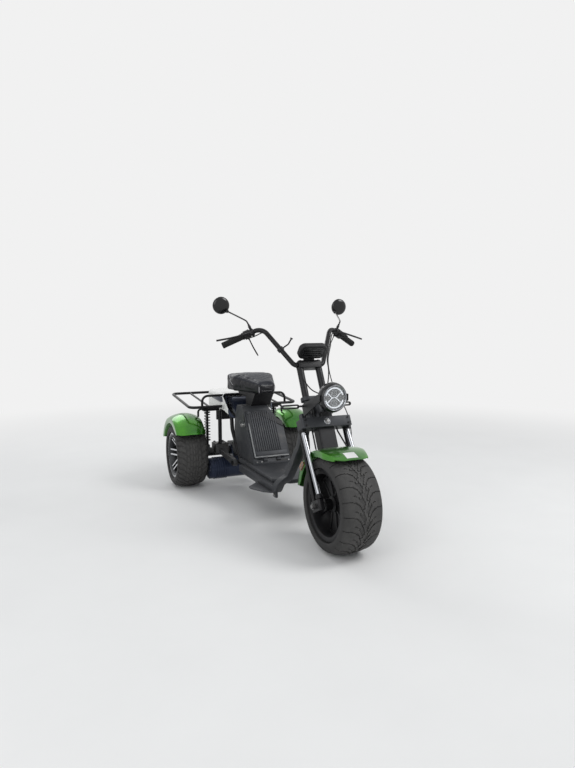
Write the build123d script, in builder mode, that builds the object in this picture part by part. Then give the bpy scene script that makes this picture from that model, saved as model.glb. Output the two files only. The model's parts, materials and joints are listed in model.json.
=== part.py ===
from build123d import *
import os
from math import cos, radians, sin, tan

# Electric cargo scooter: one steered fat wheel in front, two fat wheels behind, a low deck,
# a slanted battery box under the seat and a tubular carrier round the tail.
# Millimetres, +Z up. The front faces -Y and the rider's right is -X. The origin is on the
# floor, under the middle of the overall box.

# Driving sizes
front_tyre_r = 238.5
front_tyre_w = 208
front_rim_r = 174
rear_tyre_r = 218
rear_tyre_w = 206
rear_rim_r = 152
wheelbase = 1506
rear_track = 755
rear_overhang = 384
rake = 26

# Clearances
fit_gap = 0.3
moving_gap = 6

# Walls and bars
sheet = 3
rack_r = 9.5
bar_r = 12.7
bar_bore_r = 9.3
stem_r = 16

overall_length = front_tyre_r + wheelbase + rear_overhang
front_axle_y = front_tyre_r - overall_length / 2
rear_axle_y = front_axle_y + wheelbase
# Box, seat and tail are measured from a datum that lies this far ahead of the rear axle
body_reach = 1506
body_y = rear_axle_y - body_reach
front_hub = (0, front_axle_y, front_tyre_r)
rear_hub = (0, rear_axle_y, rear_tyre_r)
rear_wheel_x = rear_track / 2
tyre_inner_x = rear_wheel_x - rear_tyre_w / 2

# Tail, measured from the rear wheels
shock_x = tyre_inner_x - 29.5
beam_half = shock_x + 30
rack_inner_x = shock_x + 5
rack_half = rear_wheel_x + 5.5
hoop_x = rack_half - 83
beam_z = rear_tyre_r + 312
rack_front_z = beam_z + 23
rack_rear_z = beam_z + 65
rack_upper_z = beam_z + 98
cowl_low = beam_z - 10
cowl_top = rack_upper_z + 12

# Steering frame: origin at the front axle, local z up along the fork, local y behind it
fork_offset = 36
steer_frame = Plane(
    origin=front_hub,
    x_dir=(1, 0, 0),
    z_dir=(0, sin(radians(rake)), cos(radians(rake))),
)


def steer(x, back, up):
    """Point given in the steering frame."""
    return steer_frame.from_local_coords(Vector(x, back, up))


def tube(points, outer_r, bends, inner_r=0):
    """Round bar or tube along a polyline whose corners are bent to the given radii."""
    with BuildPart() as piece:
        with BuildLine() as path:
            if bends:
                FilletPolyline(*points, radius=bends)
            else:
                Polyline(*points)
        route = path.wire()
        with BuildSketch(Plane(origin=route @ 0, z_dir=route % 0)):
            Circle(outer_r)
            if inner_r:
                Circle(inner_r, mode=Mode.SUBTRACT)
        sweep(path=route)
    return piece.part


def lead(name, points, outer_r):
    """Held lead or hose: straight runs joined by arcs as large as the runs beside them allow."""
    runs = [(end - start) for start, end in zip(points, points[1:])]
    bends = []
    for before, after in zip(runs, runs[1:]):
        half_turn = radians(before.get_angle(after)) / 2
        bends.append(0.45 * min(before.length, after.length) / tan(half_turn))
    print(name, "runs", [round(run.length) for run in runs], "bend radii", [round(bend) for bend in bends])
    piece = tube(points, outer_r, bends)
    print(name, "length", round(piece.volume / (3.14159 * outer_r**2)))
    return piece


def both_sides(piece):
    """Adds a piece and its mirror image about the vehicle's middle plane."""
    add(piece)
    add(piece.mirror(Plane.YZ))


def radial_plane(hub, angle):
    """Plane through an axle: local x along the axle, local y outwards at an angle from +Y."""
    turn = radians(angle)
    return Plane(origin=hub, x_dir=(1, 0, 0), z_dir=(0, -sin(turn), cos(turn)))


def axle_of(hub):
    return Axis(hub, (1, 0, 0))


def tyre(hub, radius, width, rim_r, bead_r, bead_w):
    """Fat tyre with a flat crown and slanting shoulders, seated between the rim's lips."""
    half = width / 2
    bead = bead_w / 2
    shoulder_r = radius - 0.19 * width
    with BuildPart() as piece:
        with BuildSketch(radial_plane(hub, 90)):
            with BuildLine():
                Polyline(
                    (-bead, bead_r),
                    (-bead, rim_r),
                    (-half, shoulder_r),
                    (-0.56 * half, radius),
                    (0.56 * half, radius),
                    (half, shoulder_r),
                    (bead, rim_r),
                    (bead, bead_r),
                    close=True,
                )
            make_face()
        revolve(axis=axle_of(hub))
    return piece.part


def barrel(hub, rim_r, bead_r, width, wall):
    """Rim barrel with a lip on each edge."""
    half = width / 2
    with BuildPart() as piece:
        with BuildSketch(radial_plane(hub, 90)):
            with BuildLine():
                Polyline(
                    (-half, rim_r),
                    (-half + wall, rim_r),
                    (-half + wall, bead_r - fit_gap),
                    (half - wall, bead_r - fit_gap),
                    (half - wall, rim_r),
                    (half, rim_r),
                    (half, bead_r - fit_gap - wall),
                    (-half, bead_r - fit_gap - wall),
                    close=True,
                )
            make_face()
        revolve(axis=axle_of(hub))
    return piece.part


def fender(hub, inner_r, half_w, lip, crown, start, end):
    """Sheet fender: a crowned arch with side lips, swept round the axle between two angles."""
    outer_r = inner_r + sheet
    with BuildPart() as piece:
        with BuildSketch(radial_plane(hub, start)):
            for edge, low, top in ((half_w, inner_r - lip, outer_r), (half_w - sheet, inner_r - lip, inner_r)):
                with BuildLine():
                    Line((-edge, low), (edge, low))
                    Line((edge, low), (edge, top))
                    ThreePointArc((edge, top), (0, top + crown), (-edge, top))
                    Line((-edge, top), (-edge, low))
                make_face(mode=Mode.ADD if edge == half_w else Mode.SUBTRACT)
        revolve(axis=axle_of(hub), revolution_arc=end - start)
    return piece.part


# Front wheel
front_bead_r = 152.4
front_bead_w = 170
front_hub_r = 26
front_hub_half = 92
axle_r = 8
spoke_count = 5

with BuildPart() as front_tyre:
    add(tyre(front_hub, front_tyre_r, front_tyre_w, front_rim_r, front_bead_r, front_bead_w))

front_wheel_plane = Plane(origin=front_hub, x_dir=(0, 1, 0), z_dir=(1, 0, 0))
spoke_top = front_bead_r - 6

with BuildPart() as front_rim:
    add(barrel(front_hub, front_rim_r, front_bead_r, front_bead_w + 16, 8 - fit_gap))
    with BuildSketch(front_wheel_plane.offset(-front_hub_half)):
        Circle(front_hub_r)
    extrude(amount=2 * front_hub_half)
    with BuildSketch(front_wheel_plane.offset(-40)):
        with PolarLocations(0, spoke_count, start_angle=-90):
            with BuildLine():
                Polyline(
                    (front_hub_r - 6, -22), (front_hub_r - 6, 22), (spoke_top, 36), (spoke_top, -36),
                    close=True,
                )
            make_face()
    extrude(amount=14)
    with BuildSketch(front_wheel_plane.offset(-front_hub_half)):
        Circle(axle_r + fit_gap)
    extrude(amount=2 * front_hub_half, mode=Mode.SUBTRACT)

disc_r = 90
disc_x = front_hub_half - 14
disc_t = 4

with BuildPart() as front_disc:
    with BuildSketch(front_wheel_plane.offset(disc_x)):
        Circle(disc_r)
        Circle(front_hub_r + fit_gap, mode=Mode.SUBTRACT)
        with PolarLocations(60, 6):
            SlotOverall(34, 12, mode=Mode.SUBTRACT)
    extrude(amount=disc_t)

# Fork and triple clamps
fork_x = 124
fork_r = 12
fork_foot_back = -37
fork_head_back = 4
slider_r = 10
slider_back = 28
bridge_up = 402
bridge_t = 52
bridge_half = 138
bridge_depth = 76
yoke_up = 545
yoke_t = 20
upright_x = 54
upright_r = 18
clamp_drop = 26
clamp_half = 15
clamp_middle = -4
clamp_length = 92
spacer_r = 14

bridge_low = bridge_up - bridge_t / 2
bridge_top = bridge_up + bridge_t / 2
yoke_low = yoke_up - yoke_t / 2
yoke_top = yoke_up + yoke_t / 2

with BuildPart() as lower_bridge:
    with BuildSketch(steer_frame.offset(bridge_low)):
        RectangleRounded(2 * bridge_half, bridge_depth, 10)
        with Locations((0, fork_offset - 6)):
            RectangleRounded(84, 76, 12)
    extrude(amount=bridge_t)
    with BuildSketch(steer_frame.offset(bridge_top)):
        with Locations((0, fork_offset)):
            Circle(stem_r)
    extrude(amount=yoke_top - bridge_top)

with BuildPart() as upper_yoke:
    with BuildSketch(steer_frame.offset(yoke_low)):
        with Locations((0, fork_offset)):
            SlotOverall(2 * upright_x + 58, 58)
            Circle(stem_r + fit_gap, mode=Mode.SUBTRACT)
    extrude(amount=yoke_t)
    with BuildSketch(steer_frame.offset(bridge_top)):
        with Locations((-upright_x, fork_offset), (upright_x, fork_offset)):
            Circle(upright_r)
    extrude(amount=yoke_low - bridge_top)

fork_lean = 1.5

with BuildPart() as fork_tubes:
    fork_foot = steer(fork_x, fork_foot_back, clamp_drop + fork_lean)
    fork_head = steer(fork_x, fork_head_back, bridge_low - fork_lean)
    both_sides(tube((fork_foot, fork_head), fork_r, None))

with BuildPart() as fork_sliders:
    with BuildSketch(steer_frame.offset(clamp_drop)):
        with Locations((-fork_x, slider_back), (fork_x, slider_back)):
            Circle(slider_r)
    extrude(amount=bridge_low - clamp_drop)
    with BuildSketch(steer_frame.offset(-clamp_drop)):
        with Locations((-fork_x, clamp_middle), (fork_x, clamp_middle)):
            RectangleRounded(2 * clamp_half, clamp_length, 10)
    extrude(amount=2 * clamp_drop)
    with BuildSketch(front_wheel_plane.offset(-fork_x - 40)):
        Circle(axle_r + fit_gap)
    extrude(amount=2 * fork_x + 80, mode=Mode.SUBTRACT)

with BuildPart() as front_axle:
    with BuildSketch(front_wheel_plane.offset(-fork_x - 17)):
        Circle(axle_r)
    extrude(amount=2 * fork_x + 34)
    for side in (-1, 1):
        with BuildSketch(front_wheel_plane.offset(side * (fork_x + clamp_half + fit_gap))):
            RegularPolygon(13, 6)
        extrude(amount=side * 10)
        with BuildSketch(front_wheel_plane.offset(side * (front_hub_half + fit_gap))):
            Circle(spacer_r)
        extrude(amount=side * (fork_x - clamp_half - front_hub_half - 2 * fit_gap))

caliper_plate_top = 56
caliper_back = disc_r - 4
caliper_mid_z = 28
caliper_high = 70
caliper_top = caliper_mid_z + caliper_high / 2
hose_end_x = fork_x - clamp_half - fit_gap - 5

with BuildPart() as front_caliper:
    with BuildSketch(front_wheel_plane.offset(disc_x - 18)):
        with Locations((caliper_back, caliper_mid_z)):
            RectangleRounded(44, caliper_high, 8)
    extrude(amount=fork_x - clamp_half - fit_gap - disc_x + 18)
    with BuildSketch(front_wheel_plane.offset(fork_x - clamp_half - fit_gap)):
        with BuildLine():
            Polyline(
                (14, -14), (46, -14), (104, 4), (104, caliper_plate_top), (70, caliper_plate_top),
                (14, 22), close=True,
            )
        make_face()
    extrude(amount=-10)
    with BuildSketch(front_wheel_plane.offset(disc_x - 4)):
        Circle(disc_r + 4)
    extrude(amount=disc_t + 8, mode=Mode.SUBTRACT)

# Front fender
fender_gap = 20
fender_crown = 8
front_fender_half = 111
front_nose_half = 84

with BuildPart() as front_fender:
    add(fender(front_hub, front_tyre_r + fender_gap, front_fender_half, 30, fender_crown, 4, 118))
    with BuildSketch(Plane.XY.offset(front_tyre_r + 100)):
        with BuildLine():
            Polyline(
                (front_fender_half + 1, front_axle_y - 20),
                (front_fender_half + 1, front_axle_y - 160),
                (front_nose_half - 8, front_axle_y - 160),
                (front_nose_half, front_axle_y - 110),
                close=True,
            )
        make_face()
        mirror(about=Plane.YZ)
    extrude(amount=200, mode=Mode.SUBTRACT)

stay_up = front_tyre_r + fender_gap + sheet + fender_crown + fit_gap

with BuildPart() as fender_stays:
    with BuildSketch(steer_frame.offset(stay_up)):
        with Locations((0, 14)):
            RectangleRounded(92, 62, 8)
    extrude(amount=bridge_low - stay_up)
    both_sides(
        tube((steer(70, 8, bridge_low), steer(70, 8, bridge_low - 14), steer(86, -24, stay_up - 2)), 4, [8])
    )

# Lamps
lamp_r = 75
lamp_y = front_axle_y + 58
lamp_z = 741
lamp_depth = 84
lens_r = 62
lamp_plane = Plane(origin=(0, lamp_y, lamp_z), x_dir=(1, 0, 0), z_dir=(0, -1, 0))

with BuildPart() as headlight_shell:
    with BuildSketch(radial_plane((0, lamp_y, lamp_z), 0)):
        with BuildLine():
            Polyline(
                (30, lamp_depth), (0, lamp_depth), (0, 12), (lens_r, 12), (lens_r, 0), (lamp_r, 0),
                (lamp_r, 30),
            )
            ThreePointArc((lamp_r, 30), (62, 66), (30, lamp_depth))
        make_face()
    revolve(axis=Axis((0, lamp_y, lamp_z), (0, 1, 0)))

with BuildPart() as headlight_lens:
    with BuildSketch(lamp_plane.offset(-12 + fit_gap)):
        Circle(lens_r - fit_gap)
    extrude(amount=10)

# Lamp ears: clamped round the uprights, reaching forward along the lamp's sides
ear_x = lamp_r + fit_gap
ear_t = 4
ear_low = bridge_top + 34
ear_high = yoke_low - 14

with BuildPart() as headlight_bracket:
    with BuildSketch(steer_frame.offset(ear_low)):
        with Locations(((upright_x + ear_x + 1) / 2 + 4, fork_offset)):
            Rectangle(ear_x + 1 - upright_x - 8, 2 * upright_r + 6)
        with Locations((upright_x, fork_offset)):
            Circle(upright_r + 3)
            Circle(upright_r + fit_gap, mode=Mode.SUBTRACT)
    extrude(amount=ear_high - ear_low)
    with BuildSketch(Plane.YZ.offset(ear_x)):
        with BuildLine():
            Polyline(
                (steer(0, fork_offset + 8, ear_low).Y, steer(0, fork_offset + 8, ear_low).Z),
                (steer(0, fork_offset + 8, ear_high).Y, steer(0, fork_offset + 8, ear_high).Z),
                (lamp_y + 40, lamp_z + 16),
                (lamp_y + 14, lamp_z + 16),
                (lamp_y + 14, lamp_z - 16),
                close=True,
            )
        make_face()
    extrude(amount=ear_t)
    mirror(about=Plane.YZ)

signal_y = steer(0, fork_offset, ear_high - 10).Y
signal_z = steer(0, fork_offset, ear_high - 10).Z
signal_loop_x = 150

with BuildPart() as front_signals:
    add(
        tube(
            ((ear_x + ear_t + fit_gap, signal_y, signal_z), (signal_loop_x - 40, signal_y, signal_z)),
            5,
            None,
        )
    )
    with BuildSketch(Plane.XZ.offset(-signal_y - 5)):
        with Locations((signal_loop_x, signal_z)):
            SlotOverall(96, 22)
            SlotOverall(80, 8, mode=Mode.SUBTRACT)
    extrude(amount=10)
    mirror(about=Plane.YZ)

with BuildPart() as horn:
    with BuildSketch(steer_frame.offset(bridge_top)):
        with Locations((0, -20)):
            RectangleRounded(46, 28, 6)
    extrude(amount=26)

reflector_r = front_tyre_r + 10
reflector_turn = 37

with BuildPart() as side_reflectors:
    with BuildSketch(front_wheel_plane.offset(front_fender_half)):
        with Locations(
            Location(
                (reflector_r * cos(radians(reflector_turn)), reflector_r * sin(radians(reflector_turn)), 0),
                (0, 0, reflector_turn + 90),
            )
        ):
            SlotOverall(58, 25)
    extrude(amount=6)
    mirror(about=Plane.YZ)

# Handlebar
clamp_up = 735
bar_clamp_half = 66
riser_r = 18
bar_center = steer(0, fork_offset, clamp_up)
bar_shoulder = Vector(82, 0, 0)
bar_bend = Vector(205, 150, 197)
bar_end = Vector(398, 235, 102)
grip_length = 126
grip_r = 17

with BuildPart() as risers:
    with BuildSketch(steer_frame.offset(yoke_top)):
        with Locations((-upright_x, fork_offset), (upright_x, fork_offset)):
            Circle(riser_r)
    extrude(amount=clamp_up - bar_r - 8 - yoke_top)

with BuildPart() as bar_clamp:
    with BuildSketch(steer_frame.offset(clamp_up - bar_r - 8)):
        with Locations((0, fork_offset)):
            RectangleRounded(2 * bar_clamp_half, 46, 8)
    extrude(amount=2 * bar_r + 16)
    with BuildSketch(Plane.YZ.offset(-90)):
        with Locations((bar_center.Y, bar_center.Z)):
            Circle(bar_r + fit_gap)
    extrude(amount=180, mode=Mode.SUBTRACT)


def mirrored(point):
    return Vector(-point.X, point.Y, point.Z)


bar_route = [
    bar_center + mirrored(bar_end),
    bar_center + mirrored(bar_bend),
    bar_center + mirrored(bar_shoulder),
    bar_center + bar_shoulder,
    bar_center + bar_bend,
    bar_center + bar_end,
]

with BuildPart() as handlebar:
    add(tube(bar_route, bar_r, [60, 34, 34, 60], bar_bore_r))

hook_r = 4
arm_run = bar_bend - bar_shoulder
arm_way = arm_run.normalized()
arm_front = (Vector(0, -1, 0) - arm_way * Vector(0, -1, 0).dot(arm_way)).normalized()
arm_side = arm_way.cross(arm_front)

with BuildPart() as bar_hook:
    hook_foot = bar_center + mirrored(bar_shoulder + arm_run * 0.42)
    hook_way = mirrored(arm_side * -1)
    hook_points = (
        hook_foot + hook_way * (bar_r + 3),
        hook_foot + hook_way * 52,
        hook_foot + hook_way * 68 + Vector(0, -6, 18),
    )
    add(tube(hook_points, hook_r, [10]))
    with BuildSketch(Plane(origin=hook_points[2], z_dir=hook_points[2] - hook_points[1])):
        Circle(hook_r + 3)
    extrude(amount=8)
    with BuildSketch(Plane(origin=hook_foot, z_dir=mirrored(arm_run))):
        Circle(bar_r + 5)
        Circle(bar_r + fit_gap, mode=Mode.SUBTRACT)
    extrude(amount=9, both=True)

grip_run = (bar_end - bar_bend).normalized()
end_plane = Plane(origin=bar_center + bar_end, x_dir=(0.33, -0.93, -0.16), z_dir=grip_run)


def on_bar(distance, length, outer):
    """Sleeve round the left bar end, starting at a distance from the open end."""
    with BuildPart() as piece:
        with BuildSketch(end_plane.offset(-distance - length)):
            Circle(outer)
            Circle(bar_r + fit_gap, mode=Mode.SUBTRACT)
        extrude(amount=length)
    return piece.part


with BuildPart() as grips:
    both_sides(on_bar(0, grip_length, grip_r))

block_r = 24
block_mid = grip_length + 19
gland_r = 6
gland_end = block_r + 8
loop_reach = 20


def bar_end_point(forward, above, inboard):
    """Point beside the left bar end, measured from the open end inboard along the grip."""
    return end_plane.from_local_coords(Vector(forward, -above, -inboard))


def gland(start, end):
    """Short straight boss that a lead leaves from."""
    return tube((start, end), gland_r, None)


with BuildPart() as switch_blocks:
    both_sides(on_bar(grip_length + 2, 34, block_r))
    both_sides(gland(bar_end_point(block_r - 6, -8, block_mid), bar_end_point(gland_end, -8, block_mid)))
    for forward in (-loop_reach, loop_reach):
        foot = gland(bar_end_point(forward, -10, block_mid), bar_end_point(forward, -24, block_mid))
        add(foot.mirror(Plane.YZ))

perch_start = grip_length + 38
perch_length = 20
perch_r = 19
boss_high = 27
perch_mid = perch_start + perch_length / 2

with BuildPart() as brake_levers:
    both_sides(on_bar(perch_start, perch_length, perch_r))
    both_sides(
        tube(
            (
                bar_end_point(bar_r + 6, 0, perch_mid),
                bar_end_point(46, 6, perch_mid - 8),
                bar_end_point(54, 28, 60),
                bar_end_point(40, 44, -12),
            ),
            5,
            [10, 30],
        )
    )
    both_sides(tube((bar_end_point(0, bar_r + 3, perch_mid), bar_end_point(0, boss_high, perch_mid)), 7, None))
    both_sides(gland(bar_end_point(0, -bar_r - 3, perch_mid), bar_end_point(0, -perch_r - 9, perch_mid)))

# Mirrors
mirror_center = Vector(368, front_axle_y + 706, 1204)
mirror_r = 48
mirror_t = 16
mirror_plane = Plane(origin=mirror_center, x_dir=(1, 0, 0), z_dir=(0, 1, 0.1))
stem_foot = bar_end_point(0, boss_high, perch_mid)
stem_knee = bar_end_point(0, boss_high + 40, perch_mid)

with BuildPart() as mirror_housings:
    with BuildSketch(mirror_plane):
        Circle(mirror_r)
        Circle(mirror_r - 3, mode=Mode.SUBTRACT)
    extrude(amount=-4)
    with BuildSketch(mirror_plane.offset(-4)):
        Circle(mirror_r)
    extrude(amount=-mirror_t)
    with BuildSketch(mirror_plane.offset(-4)):
        Circle(mirror_r)
    mirror_back = mirror_center + mirror_plane.z_dir * (-4 - mirror_t / 2) + Vector(-30, 0, -30)
    add(tube((stem_foot, stem_knee, mirror_back), 4, [20]))
    mirror(about=Plane.YZ)

with BuildPart() as mirror_glass:
    with BuildSketch(mirror_plane.offset(-4 + fit_gap)):
        Circle(mirror_r - 3 - fit_gap)
    extrude(amount=2)
    mirror(about=Plane.YZ)

# Leads held along the bar arms, the lead loop under the right grip and the brake hose
lead_r = 3
hose_r = 2.5


def beside_arm(along, front, side):
    """Point beside the left bar arm, at a share of its length from the clamp."""
    return bar_center + bar_shoulder + arm_run * along + arm_front * front + arm_side * side


lamp_back_y = lamp_y + lamp_depth

with BuildPart() as control_leads:
    both_sides(
        lead(
            "control lead",
            [
                bar_end_point(gland_end, -8, block_mid),
                bar_end_point(gland_end + 46, -8, block_mid),
                bar_end_point(gland_end + 64, -10, block_mid + 44),
                bar_end_point(66, -12, 226),
                beside_arm(0.78, 30, 0),
                beside_arm(0.54, 25, 4),
                beside_arm(0.30, 27, 0),
                beside_arm(0.08, 26, 4),
                steer(86, -10, clamp_up - 48),
                steer(72, -12, 636),
                steer(44, -20, 576),
                Vector(14, lamp_back_y + 50, lamp_z + 6),
                Vector(14, lamp_back_y, lamp_z + 6),
            ],
            lead_r,
        )
    )

with BuildPart() as lead_loop:
    loop = lead(
        "lead loop",
        [
            bar_end_point(loop_reach, -24, block_mid),
            bar_end_point(loop_reach, -76, block_mid),
            bar_end_point(loop_reach + 2, -128, block_mid + 5),
            bar_end_point(-loop_reach - 2, -128, block_mid + 5),
            bar_end_point(-loop_reach, -76, block_mid),
            bar_end_point(-loop_reach, -24, block_mid),
        ],
        2,
    )
    add(loop.mirror(Plane.YZ))

with BuildPart() as brake_hose:
    add(
        lead(
            "brake hose",
            [
                bar_end_point(0, -perch_r - 9, perch_mid),
                bar_end_point(0, -perch_r - 54, perch_mid),
                beside_arm(0.60, -4, 30),
                beside_arm(0.40, 2, 24),
                beside_arm(0.16, 8, 22),
                steer(100, 14, 690),
                steer(104, 16, 620),
                steer(118, 12, 548),
                steer(142, 8, 486),
                steer(152, 6, 420),
                steer(152, 14, 350),
                steer(147, 34, 296),
                steer(138, 54, 242),
                steer(130, 60, 190),
                Vector(hose_end_x, front_axle_y + caliper_back, front_tyre_r + caliper_top + 50),
                Vector(hose_end_x, front_axle_y + caliper_back, front_tyre_r + caliper_top),
            ],
            hose_r,
        )
    )

# Display
display_center = Vector(0, bar_center.Y - 38, bar_center.Z + 77)
display_plane = Plane(origin=display_center, x_dir=(1, 0, 0), z_dir=(0, 0.77, 0.64))

with BuildPart() as display:
    with BuildSketch(display_plane.offset(-14)):
        RectangleRounded(152, 88, 30)
    extrude(amount=28)
    with BuildSketch(steer_frame.offset(clamp_up + bar_r + 8)):
        with Locations((0, fork_offset - 14)):
            RectangleRounded(60, 16, 4)
    extrude(amount=44)

# Head tube and frame beams
head_r = 28
head_low = bridge_top + moving_gap / 2
head_high = yoke_low - moving_gap / 2
neck_reach = 96
neck_half = 16
beam_w = 42
beam_h = 40
rail_x = 150
rail_z = 208
rail_end_y = body_y + 1000
lug_z = 186
lug_high = 40

with BuildPart() as head_tube:
    with BuildSketch(steer_frame.offset(head_low)):
        with Locations((0, fork_offset)):
            Circle(head_r)
        with Locations((0, fork_offset + neck_reach / 2)):
            Rectangle(2 * neck_half, neck_reach)
        with Locations((0, fork_offset)):
            Circle(stem_r + fit_gap, mode=Mode.SUBTRACT)
    extrude(amount=head_high - head_low)

# Beam line from the side: behind the front axle, height
beam_side = ((336, 628), (312, 560), (292, 470), (330, 372), (376, 286), (440, rail_z), (960, rail_z))
# Beam line from the front: sideways, height
beam_neck = neck_half + fit_gap + beam_w / 2
beam_front = ((beam_neck, 700), (beam_neck, 580), (84, 430), (110, 290))
rail_rear = rail_end_y - front_axle_y

with BuildPart() as frame_beams:
    with BuildSketch(Plane.YZ):
        with BuildLine():
            FilletPolyline(
                *[(front_axle_y + back, up) for back, up in beam_side[:-1]],
                (rail_end_y, rail_z),
                radius=[150, 90, 150, 150, 60],
            )
        trace(line_width=beam_h)
    extrude(amount=rail_x + beam_w)
    with BuildSketch(Plane.XZ.offset(-rail_end_y - 1)):
        with BuildLine():
            FilletPolyline(*beam_front, (rail_x, 262), (rail_x, 100), radius=[60, 120, 40, 40])
        trace(line_width=beam_w)
    extrude(amount=rail_rear + 100, mode=Mode.INTERSECT)
    with BuildSketch(Plane.YZ.offset(rail_x)):
        with Locations((front_axle_y + 448, lug_z)):
            RectangleRounded(46, lug_high, 8)
    extrude(amount=10)
    mirror(about=Plane.YZ)

# Deck
deck_front_y = front_axle_y + 455
deck_rear_y = body_y + 1085
deck_t = 4
deck_rise = 22
rail_gap_half = rail_x - beam_w / 2 - fit_gap
deck_half = rail_x - 6
deck_top = rail_z + beam_h / 2 + deck_rise

with BuildPart() as deck_plate:
    with BuildSketch(Plane.XY.offset(deck_top - deck_rise)):
        with BuildLine():
            Polyline(
                (-deck_half, deck_rear_y),
                (deck_half, deck_rear_y),
                (deck_half, deck_front_y + 70),
                (60, deck_front_y),
                (-60, deck_front_y),
                (-deck_half, deck_front_y + 70),
                close=True,
            )
        make_face()
    extrude(amount=deck_rise)
    offset(amount=-deck_t, openings=faces().sort_by(Axis.Z)[0])

with BuildPart() as foot_rests:
    with BuildSketch(Plane.XY.offset(rail_z - beam_h / 2)):
        with BuildLine():
            Polyline(
                (rail_x + beam_w / 2 + fit_gap, front_axle_y + 452),
                (rail_x + 60, front_axle_y + 486),
                (rail_x + 102, front_axle_y + 580),
                (rail_x + 98, front_axle_y + 612),
                (rail_x + beam_w / 2 + fit_gap, front_axle_y + 690),
                close=True,
            )
        make_face()
    extrude(amount=8)
    mirror(about=Plane.YZ)

# Battery box: side outline, behind the body datum and height
box_half = 124
box_wall = 4
box_floor = deck_top + fit_gap
face_foot = (856, box_floor)
face_top = (1045, 565)
box_top = 585
box_outline = (
    face_foot,
    face_top,
    (1064, box_top),
    (1165, box_top),
    (1212, 500),
    (1220, 420),
    (1200, 350),
    (1118, box_floor),
)
lid_margin = 10
lid_low = 40
lid_half = 114
lid_t = 8
opening_margin = 8
pack_w = 200
pack_d = 84
pack_h = 184
pack_back = 1026
rib_count = 12
rib_pitch = 14
rib_w = 7
rib_high = 4
rib_low = lid_low + 44
knuckle_r = 5
knuckle_w = 28
lock_r = 10

face_slope = Vector(0, face_top[0] - face_foot[0], face_top[1] - face_foot[1])
face_plane = Plane(
    origin=(0, body_y + face_foot[0], face_foot[1]),
    x_dir=(1, 0, 0),
    z_dir=(0, -face_slope.Z, face_slope.Y),
)


def box_volume(inset):
    """Battery box body, drawn inwards by a wall, with its left top corner cut slanting."""
    with BuildPart() as piece:
        with BuildSketch(Plane.YZ.offset(inset - box_half)):
            with BuildLine():
                Polyline(*[(body_y + back, up) for back, up in box_outline], close=True)
            make_face()
            if inset:
                offset(amount=-inset, kind=Kind.INTERSECTION, mode=Mode.REPLACE)
        extrude(amount=2 * (box_half - inset))
        with BuildSketch(Plane.XZ.offset(-body_y - 1200)):
            with BuildLine():
                Polyline(
                    (box_half + 1, 446 - inset),
                    (box_half + 1, box_top + 50),
                    (40 - inset, box_top + 50),
                    (40 - inset, box_top + 5),
                    close=True,
                )
            make_face()
        extrude(amount=400, mode=Mode.SUBTRACT)
    return piece.part


def lid_outline(margin):
    """Lid face on the slanted front, with the same slanting corner as the box."""
    top = face_slope.length - lid_margin - margin
    edge = lid_half - margin
    return (
        (-edge, lid_low + margin),
        (-edge, top),
        (38 - margin, top),
        (edge, top - 100),
        (edge, lid_low + margin),
    )


lid_top = face_slope.length - lid_margin
hinge_out = fit_gap + lid_t
hinge_plane = Plane(
    origin=face_plane.from_local_coords(Vector(0, lid_low, hinge_out)),
    x_dir=face_plane.y_dir,
    z_dir=(1, 0, 0),
)

with BuildPart() as battery_box:
    add(box_volume(0))
    add(box_volume(box_wall), mode=Mode.SUBTRACT)
    with BuildSketch(face_plane.offset(-2 * box_wall)):
        with BuildLine():
            Polyline(*lid_outline(opening_margin), close=True)
        make_face()
    extrude(amount=3 * box_wall, mode=Mode.SUBTRACT)
    for x in (-45, 45):
        with BuildSketch(hinge_plane.offset(x - knuckle_w / 2)):
            Circle(knuckle_r)
            with Locations((-12, -hinge_out / 2)):
                Rectangle(16, hinge_out)
            with Locations((-5, -1)):
                Rectangle(6, 6)
        extrude(amount=knuckle_w)

with BuildPart() as battery_pack:
    with BuildSketch(Plane.XY.offset(box_floor + box_wall)):
        with Locations((0, body_y + pack_back)):
            Rectangle(pack_w, pack_d)
    extrude(amount=pack_h)

with BuildPart() as battery_lid:
    with BuildSketch(face_plane.offset(fit_gap)):
        with BuildLine():
            Polyline(*lid_outline(0), close=True)
        make_face()
    extrude(amount=lid_t)
    for index in range(rib_count):
        x = -84 + rib_pitch * index
        corner_limit = lid_top - 100 * (x + rib_w - 38) / (lid_half - 38)
        high = min(lid_top, corner_limit) - 12
        with BuildSketch(face_plane.offset(hinge_out)):
            with Locations((x, (rib_low + high) / 2)):
                Rectangle(rib_w, high - rib_low)
        extrude(amount=rib_high)
    with BuildSketch(face_plane.offset(hinge_out)):
        with Locations((-lid_half + 14, lid_top - 16)):
            Circle(lock_r)
    extrude(amount=6)
    for x in (-45, 45):
        with BuildSketch(hinge_plane.offset(x - knuckle_w / 2 - 1)):
            Circle(knuckle_r + 1)
        extrude(amount=knuckle_w + 2, mode=Mode.SUBTRACT)
    for x in (-75, 75):
        with BuildSketch(hinge_plane.offset(x - knuckle_w / 2)):
            Circle(knuckle_r)
        extrude(amount=knuckle_w)

# Seat
seat_low = cowl_top + 32
seat_high = seat_low + 100
seat_front_y = body_y + 938
seat_rear_y = body_y + 1355
seat_nose_half = 58
seat_half = 150
seat_flank = 160
seat_nose_r = 22
seat_waist_r = 90
seat_rear_r = 44
shell_half = 64

cowl_front_y = body_y + 1210
cowl_rear_y = body_y + 1740
cowl_half = 165
cowl_corner = 80
cowl_tip_z = cowl_low - 28
core_half = 112
core_top = cowl_top - 24

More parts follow.
